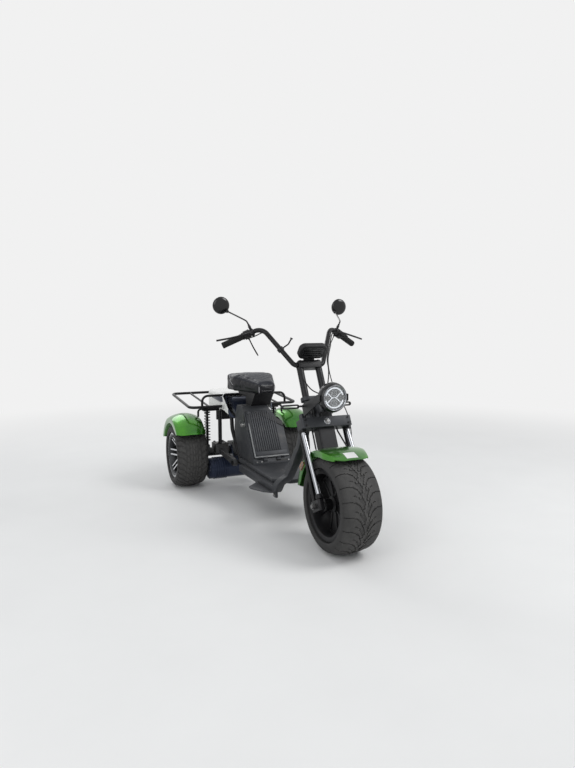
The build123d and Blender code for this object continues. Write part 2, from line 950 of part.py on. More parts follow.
with BuildPart() as seat_support:
    with BuildSketch(Plane.YZ.offset(-shell_half)):
        with BuildLine():
            Polyline(
                (seat_front_y + 52, seat_low - fit_gap),
                (seat_front_y + 102, box_top + 30),
                (seat_front_y + 130, box_top + fit_gap),
                (cowl_front_y - 52, box_top + fit_gap),
                (cowl_front_y - 44, cowl_top + fit_gap),
                (seat_rear_y - 60, cowl_top + fit_gap),
                (seat_rear_y - 30, seat_low - fit_gap),
                close=True,
            )
        make_face()
    extrude(amount=2 * shell_half)

with BuildPart() as seat_cushion:
    with BuildSketch(Plane.XY.offset(seat_low)):
        with BuildLine():
            Polyline(
                (-seat_nose_half, seat_front_y), (seat_nose_half, seat_front_y),
                (seat_half, seat_rear_y - seat_flank), (seat_half, seat_rear_y), (-seat_half, seat_rear_y),
                (-seat_half, seat_rear_y - seat_flank), close=True,
            )
        make_face()
        fillet(vertices().group_by(Axis.Y)[0], seat_nose_r)
        fillet(vertices().group_by(Axis.Y)[-1], seat_rear_r)
        fillet(vertices().sort_by(Axis.X)[0], seat_waist_r)
        fillet(vertices().sort_by(Axis.X)[-1], seat_waist_r)
    extrude(amount=seat_high - seat_low)
    with BuildSketch(Plane.YZ.offset(-200)):
        with BuildLine():
            Polyline(
                (seat_front_y - 1, seat_low + 62),
                (seat_front_y + 160, seat_high - 10),
                (seat_front_y + 240, seat_high + 1),
                (seat_front_y - 1, seat_high + 1),
                close=True,
            )
        make_face()
    extrude(amount=400, mode=Mode.SUBTRACT)

# Tail: carrier rack, cross beam, cowl
rack_front_y = rear_axle_y - 141
rack_rear_y = rear_axle_y + rear_overhang - rack_r
rack_upper_r = 8

with BuildPart() as rack:
    add(
        tube(
            (
                (rack_half, rack_front_y, rack_front_z),
                (-rack_half, rack_front_y, rack_front_z),
                (-rack_half, rack_rear_y, rack_rear_z),
                (rack_half, rack_rear_y, rack_rear_z),
                (rack_half, rack_front_y, rack_front_z),
            ),
            rack_r,
            [40, 40, 40, 40],
        )
    )
    both_sides(
        tube(((rack_inner_x, rack_front_y, rack_front_z), (rack_inner_x, rack_rear_y, rack_rear_z)), 7, None)
    )
    add(
        tube(
            (
                (-hoop_x, rack_front_y, rack_front_z),
                (-hoop_x, rack_front_y, rack_upper_z),
                (hoop_x, rack_front_y, rack_upper_z),
                (hoop_x, rack_front_y, rack_front_z),
            ),
            rack_upper_r,
            [40, 40],
        )
    )

beam_y = rear_axle_y - 66
post_x = 155
pivot_y = body_y + 1130
pivot_z = 214
pivot_r = 14

tail_tube_x = 112
tail_tube_r = 13
stub_z = beam_z + 10
beam_depth = 36
beam_high = 28

with BuildPart() as rear_frame:
    with BuildSketch(Plane.YZ.offset(-beam_half)):
        with Locations((beam_y, beam_z)):
            RectangleRounded(beam_depth, beam_high, 5)
    extrude(amount=2 * beam_half)
    both_sides(
        tube(
            (
                (tail_tube_x, rail_end_y - 40, rail_z),
                (tail_tube_x, pivot_y, pivot_z),
                (tail_tube_x, pivot_y + 170, beam_z - 130),
                (tail_tube_x, pivot_y + 185, beam_z - 30),
                (tail_tube_x, beam_y, beam_z),
            ),
            tail_tube_r,
            [60, 60, 60],
        )
    )
    with BuildSketch(Plane.YZ.offset(-rail_gap_half)):
        with Locations((rail_end_y - 40, rail_z)):
            Circle(18)
    extrude(amount=2 * rail_gap_half)
    with BuildSketch(Plane.YZ.offset(-post_x - 24)):
        with Locations((pivot_y, pivot_z)):
            Circle(pivot_r)
    extrude(amount=2 * post_x + 48)
    both_sides(tube(((tail_tube_x, beam_y, stub_z), (tail_tube_x, rack_front_y, stub_z)), 9, None))
    both_sides(tube(((120, beam_y, beam_z), (120, beam_y, cowl_top - sheet - fit_gap)), 8, None))
    with BuildSketch(Plane.YZ.offset(-200)):
        with Locations((rack_front_y, rack_front_z)):
            Circle(rack_r + fit_gap)
    extrude(amount=400, mode=Mode.SUBTRACT)

with BuildPart() as tail_cowl:
    with BuildSketch(Plane.XY.offset(cowl_tip_z)):
        with Locations((0, (cowl_front_y + cowl_rear_y) / 2)):
            RectangleRounded(2 * cowl_half, cowl_rear_y - cowl_front_y, cowl_corner)
    extrude(amount=cowl_top - cowl_tip_z)
    fillet(faces().sort_by(Axis.Z)[-1].edges(), 28)
    offset(amount=-sheet, openings=faces().sort_by(Axis.Z)[0])
    with BuildSketch(Plane.YZ.offset(-200)):
        with BuildLine():
            Polyline(
                (cowl_front_y - 1, cowl_tip_z - 1), (cowl_front_y + 6, cowl_tip_z - 1),
                (cowl_front_y + 60, core_top - 40), (cowl_front_y + 118, core_top),
                (cowl_front_y + 146, cowl_top + 1), (cowl_front_y - 1, cowl_top + 1), close=True,
            )
        make_face()
        with BuildLine():
            Polyline(
                (cowl_front_y + 18, cowl_tip_z - 1), (cowl_front_y + 52, cowl_low - 2),
                (cowl_front_y + 92, cowl_low + 12), (cowl_front_y + 180, cowl_low + 12),
                (cowl_front_y + 200, cowl_low), (cowl_rear_y + 1, cowl_low),
                (cowl_rear_y + 1, cowl_tip_z - 1), close=True,
            )
        make_face()
    extrude(amount=400, mode=Mode.SUBTRACT)
    with BuildSketch(Plane.YZ.offset(-200)):
        with Locations((beam_y, beam_z)):
            Rectangle(beam_depth + 2 * fit_gap, beam_high + 2 * fit_gap)
        with Locations((rack_front_y, rack_front_z)):
            Circle(rack_r + fit_gap)
        with Locations((rack_front_y, rack_upper_z)):
            Circle(rack_upper_r + fit_gap)
    extrude(amount=400, mode=Mode.SUBTRACT)

with BuildPart() as cowl_core:
    with BuildSketch(Plane.YZ.offset(-core_half)):
        with BuildLine():
            Polyline(
                (cowl_front_y + 14, cowl_low - 8), (cowl_front_y + 60, core_top - 30),
                (cowl_front_y + 112, core_top), (cowl_front_y + 200, core_top),
                (cowl_front_y + 200, rack_front_z), (cowl_front_y + 110, rack_front_z),
                (cowl_front_y + 70, cowl_low + 2), close=True,
            )
        make_face()
        with Locations((rack_front_y, rack_front_z)):
            Circle(rack_r + fit_gap, mode=Mode.SUBTRACT)
    extrude(amount=2 * core_half)
    fillet(edges().filter_by(Axis.Y).group_by(Axis.Z)[-1], 20)

# Tail lamp and the bare plate under it
plate_w = 180
plate_low = cowl_low - 118
plate_high = cowl_low + 30
plate_hole_r = 3
plate_hole_x = 70
plate_hole_z = cowl_low - 20

with BuildPart() as tail_lamp:
    with BuildSketch(Plane.XZ.offset(-cowl_rear_y)):
        with Locations((0, plate_high + 32)):
            RectangleRounded(110, 34, 12)
    extrude(amount=-16)

with BuildPart() as plate_carrier:
    with BuildSketch(Plane.XZ.offset(-cowl_rear_y)):
        with Locations((0, (plate_low + plate_high) / 2)):
            RectangleRounded(plate_w, plate_high - plate_low, 6)
        with Locations((-plate_hole_x, plate_hole_z), (plate_hole_x, plate_hole_z)):
            Circle(plate_hole_r, mode=Mode.SUBTRACT)
    extrude(amount=-sheet)

# Rear axle
housing_half = tyre_inner_x - 12.5
housing_r = 30
stub_r = 12
block_top = rear_tyre_r + 28 + 37
block_x = 145
rear_hub_out = 50
block_half = 46
eye_back = pivot_y - rear_axle_y
eye_z = pivot_z - rear_tyre_r

with BuildPart() as axle_housing:
    rear_plane = Plane(origin=rear_hub, x_dir=(0, 1, 0), z_dir=(1, 0, 0))
    with BuildSketch(rear_plane.offset(-housing_half)):
        Circle(housing_r)
    extrude(amount=2 * housing_half)
    with BuildSketch(rear_plane.offset(4 - rear_hub_out - rear_wheel_x)):
        Circle(stub_r)
    extrude(amount=rear_track + 2 * rear_hub_out - 8)
    with BuildSketch(rear_plane.offset(-65)):
        RectangleRounded(130, 120, 30)
    extrude(amount=130)
    for side in (-1, 1):
        with BuildSketch(rear_plane.offset(side * block_x - block_half)):
            with Locations((-30, 28)):
                RectangleRounded(100, 74, 10)
        extrude(amount=2 * block_half)
        with BuildSketch(rear_plane.offset(side * post_x - 12)):
            with BuildLine():
                Polyline((-60, 0), (-60, 30), (eye_back, 18), (eye_back, eye_z - 18), close=True)
            make_face()
            with Locations((eye_back, eye_z)):
                Circle(pivot_r + 9)
                Circle(pivot_r + fit_gap, mode=Mode.SUBTRACT)
        extrude(amount=24)
        with BuildSketch(rear_plane.offset(side * shock_x - 12)):
            with BuildLine():
                Polyline(
                    (0, -20), (-84, 40), (-84, block_top - rear_tyre_r), (-48, block_top - rear_tyre_r),
                    (20, 10),
                )
                Line((20, 10), (0, -20))
            make_face()
        extrude(amount=24)

motor_r = 70
motor_back = -118
motor_z = 128
motor_right = tyre_inner_x - 19.5
motor_left = 100

with BuildPart() as drive_motor:
    with BuildSketch(Plane.YZ.offset(-motor_right)):
        with Locations((rear_axle_y + motor_back, motor_z)):
            Circle(motor_r)
    extrude(amount=motor_right + motor_left)
    for side in (-1, 1):
        with BuildSketch(rear_plane.offset(side * (65 + fit_gap))):
            with BuildLine():
                Polyline(
                    (motor_back, -60), (0, -58), (44, -40), (44, 44), (-44, 44), (motor_back, -40),
                    close=True,
                )
            make_face()
            Circle(housing_r + fit_gap, mode=Mode.SUBTRACT)
        extrude(amount=side * 8)

with BuildPart() as shock_bodies:
    for x, r in ((post_x, 13), (shock_x, 8)):
        both_sides(tube(((x, beam_y, block_top), (x, beam_y, beam_z - beam_high / 2)), r, None))

with BuildPart() as shock_springs:
    for side in (-1, 1):
        with BuildSketch(Plane.XY.offset(block_top + 30)):
            with Locations((side * shock_x, beam_y)):
                Circle(21)
                Circle(8 + fit_gap, mode=Mode.SUBTRACT)
        extrude(amount=beam_z - beam_high / 2 - 6 - block_top - 30)

# Rear fenders
rear_fender_half = 98
rear_fender_x = rear_wheel_x + 12.5
rear_fender_crown = 27
rear_fender_inner_r = rear_tyre_r + 35
bracket_x = rear_fender_x - rear_fender_half + 16
crown_arc_r = (rear_fender_half**2 + rear_fender_crown**2) / (2 * rear_fender_crown)
crown_drop = crown_arc_r - (crown_arc_r**2 - (rear_fender_x - bracket_x) ** 2) ** 0.5
fender_top_r = rear_fender_inner_r + sheet + rear_fender_crown - crown_drop
bracket_foot = rear_tyre_r + (fender_top_r**2 - (rear_axle_y - beam_y) ** 2) ** 0.5 + 4.3

with BuildPart() as rear_fenders:
    rear_arch = (rear_fender_x, rear_axle_y, rear_tyre_r)
    add(fender(rear_arch, rear_fender_inner_r, rear_fender_half, 34, rear_fender_crown, 17, 143))
    mirror(about=Plane.YZ)

with BuildPart() as fender_brackets:
    both_sides(
        tube(
            ((beam_half, beam_y, beam_z), (bracket_x, beam_y, beam_z), (bracket_x, beam_y, bracket_foot)),
            7, [20],
        )
    )


def rear_wheel(side):
    """Tyre and rim of one rear wheel."""
    hub = (side * rear_wheel_x, rear_axle_y, rear_tyre_r)
    plane = Plane(origin=hub, x_dir=(0, 1, 0), z_dir=(side, 0, 0))
    with BuildPart() as rubber:
        add(tyre(hub, rear_tyre_r, rear_tyre_w, rear_rim_r, rear_bead_r, rear_bead_w))
    with BuildPart() as rim:
        add(barrel(hub, rear_rim_r, rear_bead_r, rear_bead_w + 16, 8 - fit_gap))
        with BuildSketch(plane.offset(-60)):
            Circle(rear_hub_r)
        extrude(amount=60 + rear_hub_out)
        for turn in range(rear_spokes):
            across = Vector(0, 0, side).rotate(Axis.X, 360 * turn / rear_spokes)
            for y in (-17, 17):
                flank = Plane(origin=hub, x_dir=(side, 0, 0), z_dir=across).offset(y - 6)
                with BuildSketch(flank):
                    with BuildLine():
                        Polyline(
                            (rear_hub_out - 22, rear_hub_r - 8), (rear_hub_out - 6, rear_hub_r - 8),
                            (rear_hub_out - 2, rear_hub_r + 14), (spoke_edge, rear_spoke_top),
                            (spoke_edge - 18, rear_spoke_top), close=True,
                        )
                    make_face()
                extrude(amount=12)
        with BuildSketch(plane.offset(-60)):
            Circle(stub_r + fit_gap)
        extrude(amount=60 + rear_hub_out, mode=Mode.SUBTRACT)
    return rubber, rim


rear_bead_r = 127
rear_bead_w = 170
rear_spokes = 6
rear_hub_r = 34
rear_spoke_top = rear_bead_r - 6
spoke_edge = rear_bead_w / 2 - 1
rear_tyre_right, rear_rim_right = rear_wheel(-1)
rear_tyre_left, rear_rim_left = rear_wheel(1)

pieces = {
    "front_tyre": front_tyre,
    "front_rim": front_rim,
    "front_disc": front_disc,
    "lower_bridge": lower_bridge,
    "upper_yoke": upper_yoke,
    "fork_tubes": fork_tubes,
    "fork_sliders": fork_sliders,
    "front_axle": front_axle,
    "front_caliper": front_caliper,
    "front_fender": front_fender,
    "fender_stays": fender_stays,
    "headlight_shell": headlight_shell,
    "headlight_lens": headlight_lens,
    "headlight_bracket": headlight_bracket,
    "front_signals": front_signals,
    "horn": horn,
    "side_reflectors": side_reflectors,
    "control_leads": control_leads,
    "lead_loop": lead_loop,
    "brake_hose": brake_hose,
    "bar_hook": bar_hook,
    "risers": risers,
    "bar_clamp": bar_clamp,
    "handlebar": handlebar,
    "grips": grips,
    "switch_blocks": switch_blocks,
    "brake_levers": brake_levers,
    "mirror_housings": mirror_housings,
    "mirror_glass": mirror_glass,
    "display": display,
    "head_tube": head_tube,
    "frame_beams": frame_beams,
    "deck_plate": deck_plate,
    "foot_rests": foot_rests,
    "battery_box": battery_box,
    "battery_pack": battery_pack,
    "battery_lid": battery_lid,
    "seat_support": seat_support,
    "seat_cushion": seat_cushion,
    "rack": rack,
    "rear_frame": rear_frame,
    "tail_cowl": tail_cowl,
    "cowl_core": cowl_core,
    "tail_lamp": tail_lamp,
    "plate_carrier": plate_carrier,
    "axle_housing": axle_housing,
    "drive_motor": drive_motor,
    "shock_bodies": shock_bodies,
    "shock_springs": shock_springs,
    "rear_fenders": rear_fenders,
    "fender_brackets": fender_brackets,
    "rear_tyre_right": rear_tyre_right,
    "rear_rim_right": rear_rim_right,
    "rear_tyre_left": rear_tyre_left,
    "rear_rim_left": rear_rim_left,
}

os.makedirs("parts", exist_ok=True)
for name, piece in pieces.items():
    piece.part.label = name
    export_step(piece.part, f"parts/{name}.step")
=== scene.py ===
"""Looks of an electric cargo scooter, modelled over its fixed frame.

Metres, +Z up. The front faces -Y and the rider's right is -X.
"""
import json
import logging
import math
from dataclasses import dataclass, field
from enum import Enum
from typing import Callable, Iterable, Sequence

import bpy
from mathutils import Matrix, Vector
from mathutils.bvhtree import BVHTree


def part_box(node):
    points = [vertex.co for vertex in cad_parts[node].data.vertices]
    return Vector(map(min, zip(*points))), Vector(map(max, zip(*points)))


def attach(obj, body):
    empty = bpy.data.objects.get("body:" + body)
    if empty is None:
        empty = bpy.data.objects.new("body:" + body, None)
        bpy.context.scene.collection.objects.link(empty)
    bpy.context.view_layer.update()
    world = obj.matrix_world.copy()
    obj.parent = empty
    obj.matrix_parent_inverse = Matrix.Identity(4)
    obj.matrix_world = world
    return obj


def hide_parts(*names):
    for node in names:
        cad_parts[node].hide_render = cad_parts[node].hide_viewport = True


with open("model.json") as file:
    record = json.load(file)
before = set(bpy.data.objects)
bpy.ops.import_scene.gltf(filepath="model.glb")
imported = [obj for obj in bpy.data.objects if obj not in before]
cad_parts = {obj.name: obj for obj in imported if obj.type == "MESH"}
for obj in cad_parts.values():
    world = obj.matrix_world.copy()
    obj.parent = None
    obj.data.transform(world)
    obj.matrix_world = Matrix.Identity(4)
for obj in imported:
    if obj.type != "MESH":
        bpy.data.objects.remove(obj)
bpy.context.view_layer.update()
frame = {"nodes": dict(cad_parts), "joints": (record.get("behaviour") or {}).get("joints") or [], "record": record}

LOG = logging.getLogger("scooter")
Point = tuple[float, float, float]

CRISP = math.radians(35)


class Body(Enum):
    """Bodies that a piece can ride on."""

    CHASSIS = "chassis"
    STEERING = "steering"
    FRONT_WHEEL = "front_wheel"
    REAR_RIGHT = "rear_wheel_right"
    REAR_LEFT = "rear_wheel_left"
    LID = "battery_lid"


class Side(Enum):
    """Sides of the vehicle, as the sign of x."""

    RIGHT = -1
    LEFT = 1


# Modelling tools


def deselect() -> None:
    """Leave object mode's selection empty."""
    bpy.ops.object.select_all(action="DESELECT")


def activate(piece: bpy.types.Object) -> None:
    """Select one object alone and make it active."""
    deselect()
    piece.select_set(True)
    bpy.context.view_layer.objects.active = piece


def apply_modifier(piece: bpy.types.Object, kind: str, **settings: object) -> None:
    """Add one modifier with its settings and apply it."""
    activate(piece)
    modifier = piece.modifiers.new(kind.title(), kind)
    for key, value in settings.items():
        setattr(modifier, key, value)
    bpy.ops.object.modifier_apply(modifier=modifier.name)


def ring_of_points(name: str, points: Sequence[Point]) -> bpy.types.Object:
    """Add a closed wire loop and set its corners.

    Args:
        name: Object name.
        points: Corners in order.

    Returns:
        The wire object, at the origin.
    """
    deselect()
    bpy.ops.mesh.primitive_circle_add(vertices=len(points), radius=1, location=(0, 0, 0))
    piece = bpy.context.active_object
    piece.name = piece.data.name = name
    for vertex, point in zip(piece.data.vertices, points):
        vertex.co = point
    return piece


def outward(piece: bpy.types.Object) -> None:
    """Merge doubled points and turn every face outwards."""
    activate(piece)
    bpy.ops.object.mode_set(mode="EDIT")
    bpy.ops.mesh.select_all(action="SELECT")
    bpy.ops.mesh.remove_doubles(threshold=0.00002)
    bpy.ops.mesh.normals_make_consistent(inside=False)
    bpy.ops.object.mode_set(mode="OBJECT")


def lathe(
    name: str,
    section: Sequence[tuple[float, float]],
    centre: Point,
    axis: Point,
    steps: int = 64,
    turn: float = 360.0,
    zero: Point = (0, 0, 1),
) -> bpy.types.Object:
    """Spin a closed section about an axis.

    Args:
        name: Object name.
        section: Corners as (along the axis, radius).
        centre: Point on the axis.
        axis: Direction of the axis.
        steps: Number of steps in the turn.
        turn: Angle of the turn in degrees.
        zero: Direction in which the section stands at the start, never along the axis.

    Returns:
        The turned piece, closed.
    """
    along = Vector(axis).normalized()
    up = Vector(zero) - along * along.dot(Vector(zero))
    up.normalize()
    base = Vector(centre)
    piece = ring_of_points(name, [tuple(base + along * a + up * r) for a, r in section])
    activate(piece)
    bpy.ops.object.mode_set(mode="EDIT")
    bpy.ops.mesh.select_all(action="SELECT")
    if abs(turn) < 360:
        bpy.ops.mesh.edge_face_add()
    bpy.ops.mesh.spin(steps=steps, angle=-math.radians(turn), center=base, axis=along)
    bpy.ops.object.mode_set(mode="OBJECT")
    outward(piece)
    return piece


def prism(
    name: str,
    outline: Sequence[tuple[float, float]],
    place: Matrix,
    depth: float,
    bevel: float = 0.0,
    segments: int = 3,
) -> bpy.types.Object:
    """Extrude a flat outline and round its edges.

    Args:
        name: Object name.
        outline: Corners in the outline's own plane.
        place: Plane as a matrix whose z is the way of the extrusion.
        depth: Length of the extrusion.
        bevel: Radius of the rounded edges.
        segments: Steps of each rounded edge.

    Returns:
        The closed piece.
    """
    piece = ring_of_points(name, [tuple(place @ Vector((x, y, 0))) for x, y in outline])
    way = place.to_3x3() @ Vector((0, 0, depth))
    activate(piece)
    bpy.ops.object.mode_set(mode="EDIT")
    bpy.ops.mesh.select_all(action="SELECT")
    bpy.ops.mesh.edge_face_add()
    bpy.ops.mesh.extrude_region_move(TRANSFORM_OT_translate={"value": way})
    bpy.ops.object.mode_set(mode="OBJECT")
    outward(piece)
    if bevel:
        apply_modifier(
            piece, "BEVEL", width=bevel, segments=segments, limit_method="ANGLE", angle_limit=CRISP,
        )
    return piece


def rounded(width: float, height: float, corner: float, steps: int = 6) -> list[tuple[float, float]]:
    """Outline of a rectangle with round corners, about its middle."""
    points = []
    for quarter, (sx, sy) in enumerate(((1, 1), (-1, 1), (-1, -1), (1, -1))):
        for step in range(steps + 1):
            angle = math.radians(90 * quarter + 90 * step / steps)
            points.append(
                (
                    sx * (width / 2 - corner) + corner * math.cos(angle),
                    sy * (height / 2 - corner) + corner * math.sin(angle),
                )
            )
    return points


def disc_outline(radius: float, steps: int = 32) -> list[tuple[float, float]]:
    """Outline of a circle."""
    return [
        (radius * math.cos(math.tau * step / steps), radius * math.sin(math.tau * step / steps))
        for step in range(steps)
    ]


def facing(centre: Point, normal: Point, side: Point = (1, 0, 0)) -> Matrix:
    """Plane through a point: z along the normal, x near the given side."""
    z = Vector(normal).normalized()
    x = (Vector(side) - z * z.dot(Vector(side))).normalized()
    y = z.cross(x)
    return Matrix.Translation(Vector(centre)) @ Matrix((x, y, z)).transposed().to_4x4()


def pipe(
    name: str, points: Sequence[Point], radius: float, smooth: bool = True, sides: int = 6
) -> bpy.types.Object:
    """Round bar along points.

    Args:
        name: Object name.
        points: Points of its line.
        radius: Radius of the bar.
        smooth: True for one flowing line, False for straight runs.
        sides: Roundness of the section.

    Returns:
        The bar as a closed mesh.
    """
    curve = bpy.data.curves.new(name, "CURVE")
    curve.dimensions = "3D"
    curve.bevel_depth = radius
    curve.bevel_resolution = sides
    curve.resolution_u = 8
    curve.use_fill_caps = True
    spline = curve.splines.new("NURBS" if smooth else "POLY")
    spline.points.add(len(points) - 1)
    for knot, point in zip(spline.points, points):
        knot.co = (*point, 1)
    if smooth:
        spline.order_u = min(4, len(points))
        spline.use_endpoint_u = True
    piece = bpy.data.objects.new(name, curve)
    bpy.context.scene.collection.objects.link(piece)
    activate(piece)
    bpy.ops.object.convert(target="MESH")
    piece = bpy.context.active_object
    piece.name = piece.data.name = name
    outward(piece)
    return piece


def join(name: str, parts: Sequence[bpy.types.Object]) -> bpy.types.Object:
    """Join meshes into one object under a new name."""
    deselect()
    for part in parts:
        part.select_set(True)
    bpy.context.view_layer.objects.active = parts[0]
    bpy.ops.object.join()
    parts[0].name = parts[0].data.name = name
    return parts[0]


def twin(piece: bpy.types.Object, name: str) -> bpy.types.Object:
    """Mirror image of a piece about the vehicle's middle plane, with its own mesh."""
    copy = piece.copy()
    copy.data = piece.data.copy()
    copy.name = copy.data.name = name
    bpy.context.scene.collection.objects.link(copy)
    copy.data.transform(Matrix.Scale(-1, 4, Vector((1, 0, 0))))
    outward(copy)
    return copy


def copies(piece: bpy.types.Object, moves: Iterable[Matrix]) -> list[bpy.types.Object]:
    """Moved copies of a piece, each with its own mesh; the piece itself is removed."""
    made = []
    for move in moves:
        copy = piece.copy()
        copy.data = piece.data.copy()
        bpy.context.scene.collection.objects.link(copy)
        copy.data.transform(move)
        made.append(copy)
    bpy.data.objects.remove(piece)
    return made


def about(centre: Point, axis: Point, degrees: float) -> Matrix:
    """Turn about an axis through a point."""
    shift = Matrix.Translation(Vector(centre))
    return shift @ Matrix.Rotation(math.radians(degrees), 4, Vector(axis)) @ shift.inverted()


def rounded_copy(node: str, name: str, width: float, segments: int = 2) -> bpy.types.Object:
    """Copy of a frame node with its sharp edges rounded.

    Args:
        node: Name of the frame node.
        name: Name of the copy.
        width: Width of the rounding.
        segments: Steps of the rounding.

    Returns:
        The rounded copy.
    """
    source = frame["nodes"][node]
    copy = source.copy()
    copy.data = source.data.copy()
    copy.parent = None
    for key in list(copy.keys()):
        del copy[key]
    copy.name = copy.data.name = name
    copy.data.materials.clear()
    bpy.context.scene.collection.objects.link(copy)
    activate(copy)
    bpy.ops.mesh.customdata_custom_splitnormals_clear()
    bpy.ops.object.mode_set(mode="EDIT")
    bpy.ops.mesh.select_all(action="SELECT")
    bpy.ops.mesh.remove_doubles(threshold=0.00002)
    bpy.ops.mesh.dissolve_limited(angle_limit=math.radians(1.5))
    bpy.ops.object.mode_set(mode="OBJECT")
    apply_modifier(
        copy, "BEVEL", width=width, segments=segments, limit_method="ANGLE", angle_limit=CRISP,
        use_clamp_overlap=True, harden_normals=False,
    )
    return copy


# Finishes


class Nodes:
    """A material's node tree with short calls for the nodes that the finishes share."""

    def __init__(self, name: str) -> None:
        """Make the material with one principled shader."""
        self.material = bpy.data.materials.new(name)
        self.material.use_nodes = True
        self.tree = self.material.node_tree
        self.shader = self.tree.nodes["Principled BSDF"]
        self.place = self.tree.nodes.new("ShaderNodeTexCoord").outputs["Object"]

    def set(self, **values: object) -> "Nodes":
        """Set shader sockets by name, with underscores for spaces."""
        for key, value in values.items():
            self.shader.inputs[key.replace("_", " ")].default_value = value
        return self

    def add(self, kind: str, **settings: object) -> bpy.types.Node:
        """Add a node and set its properties."""
        node = self.tree.nodes.new("ShaderNode" + kind)
        for key, value in settings.items():
            setattr(node, key, value)
        return node

    def link(self, out: bpy.types.NodeSocket, into: bpy.types.NodeSocket) -> None:
        """Link two sockets."""
        self.tree.links.new(out, into)

    def mapped(self, centre: Point = (0, 0, 0), scale: Point = (1, 1, 1), turn: Point = (0, 0, 0)) -> object:
        """Object coordinates seen from a centre, turned and scaled."""
        first = self.add("Mapping", vector_type="POINT")
        first.inputs["Location"].default_value = [-c for c in centre]
        self.link(self.place, first.inputs["Vector"])
        second = self.add("Mapping", vector_type="POINT")
        second.inputs["Rotation"].default_value = [math.radians(a) for a in turn]
        second.inputs["Scale"].default_value = scale
        self.link(first.outputs["Vector"], second.inputs["Vector"])
        return second.outputs["Vector"]

    def noise(self, scale: float, detail: float = 4, rough: float = 0.55, where: object = None) -> object:
        """Noise factor over the object's coordinates."""
        node = self.add("TexNoise")
        node.inputs["Scale"].default_value = scale
        node.inputs["Detail"].default_value = detail
        node.inputs["Roughness"].default_value = rough
        self.link(where or self.place, node.inputs["Vector"])
        return node.outputs["Fac"]

    def cells(self, scale: float, feature: str = "F1", where: object = None) -> object:
        """Cell distance over the object's coordinates."""
        node = self.add("TexVoronoi", feature=feature)
        node.inputs["Scale"].default_value = scale
        self.link(where or self.place, node.inputs["Vector"])
        return node.outputs["Distance"]

    def ramp(self, factor: object, stops: Sequence[tuple[float, Sequence[float]]]) -> object:
        """Colour ramp through stops of (position, colour)."""
        node = self.add("ValToRGB")
        elements = node.color_ramp.elements
        while len(elements) < len(stops):
            elements.new(0.5)
        for element, (position, colour) in zip(elements, stops):
            element.position = position
            element.color = (*colour, 1) if len(colour) == 3 else colour
        self.link(factor, node.inputs["Fac"])
        return node.outputs["Color"]

    def mix(self, factor: object, first: object, second: object, blend: str = "MIX") -> object:
        """Mix two colours, each given as a socket or a plain colour."""
        node = self.add("Mix", data_type="RGBA", blend_type=blend)
        if isinstance(factor, float):
            node.inputs[0].default_value = factor
        else:
            self.link(factor, node.inputs[0])
        for value, socket in ((first, node.inputs[6]), (second, node.inputs[7])):
            if isinstance(value, (tuple, list)):
                socket.default_value = (*value, 1)
            else:
                self.link(value, socket)
        return node.outputs[2]

    def math(self, operation: str, first: object, second: float | object = 0.0) -> object:
        """One math node."""
        node = self.add("Math", operation=operation)
        for value, socket in ((first, node.inputs[0]), (second, node.inputs[1])):
            if isinstance(value, (int, float)):
                socket.default_value = value
            else:
                self.link(value, socket)
        return node.outputs[0]

    def spread(self, factor: object, low: float, high: float) -> object:
        """Map a factor from 0..1 to a range."""
        node = self.add("MapRange")
        node.inputs["To Min"].default_value = low
        node.inputs["To Max"].default_value = high
        self.link(factor, node.inputs["Value"])
        return node.outputs["Result"]

    def edges(self, sharpness: float = 8.0) -> object:
        """Factor that is high on worn outer edges."""
        pointed = self.add("NewGeometry").outputs["Pointiness"]
        shifted = self.math("SUBTRACT", pointed, 0.5)
        node = self.add("Math", operation="MULTIPLY", use_clamp=True)
        node.inputs[1].default_value = sharpness
        self.link(shifted, node.inputs[0])
        return node.outputs[0]

    def colour(self, socket: object) -> None:
        """Feed the base colour."""
        self.link(socket, self.shader.inputs["Base Color"])

    def rough(self, socket: object) -> None:
        """Feed the roughness."""
        self.link(socket, self.shader.inputs["Roughness"])

    def bump(self, height: object, strength: float, distance: float, under: object = None) -> object:
        """Bump the surface by a height, over an earlier bump if given."""
        node = self.add("Bump")
        node.inputs["Strength"].default_value = strength
        node.inputs["Distance"].default_value = distance
        self.link(height, node.inputs["Height"])
        if under is not None:
            self.link(under, node.inputs["Normal"])
        self.link(node.outputs["Normal"], self.shader.inputs["Normal"])
        return node.outputs["Normal"]


def shade(colour: Sequence[float], factor: float) -> tuple[float, float, float]:
    """A colour made darker or lighter by a factor."""
    return tuple(min(1.0, c * factor) for c in colour)


@dataclass(frozen=True)
class CandyPaint:
    """Deep metallic lacquer over a bright flake base."""

    name: str
    colour: Point
    deep: Point

    def make(self) -> bpy.types.Material:
        """Build the material."""
        n = Nodes(self.name)
        n.set(Metallic=0.82, Coat_Weight=0.75, Coat_Roughness=0.035, Specular_IOR_Level=0.5)
        cloud = n.noise(7.0, 3)
        flakes = n.cells(1400.0)
        base = n.ramp(cloud, ((0.3, self.deep), (0.72, self.colour)))
        n.colour(n.mix(n.ramp(flakes, ((0.0, (1, 1, 1)), (0.35, (0, 0, 0)))), base, shade(self.colour, 1.7)))
        n.rough(n.spread(n.noise(160.0, 2), 0.24, 0.36))
        n.bump(flakes, 0.05, 0.0002)
        return n.material


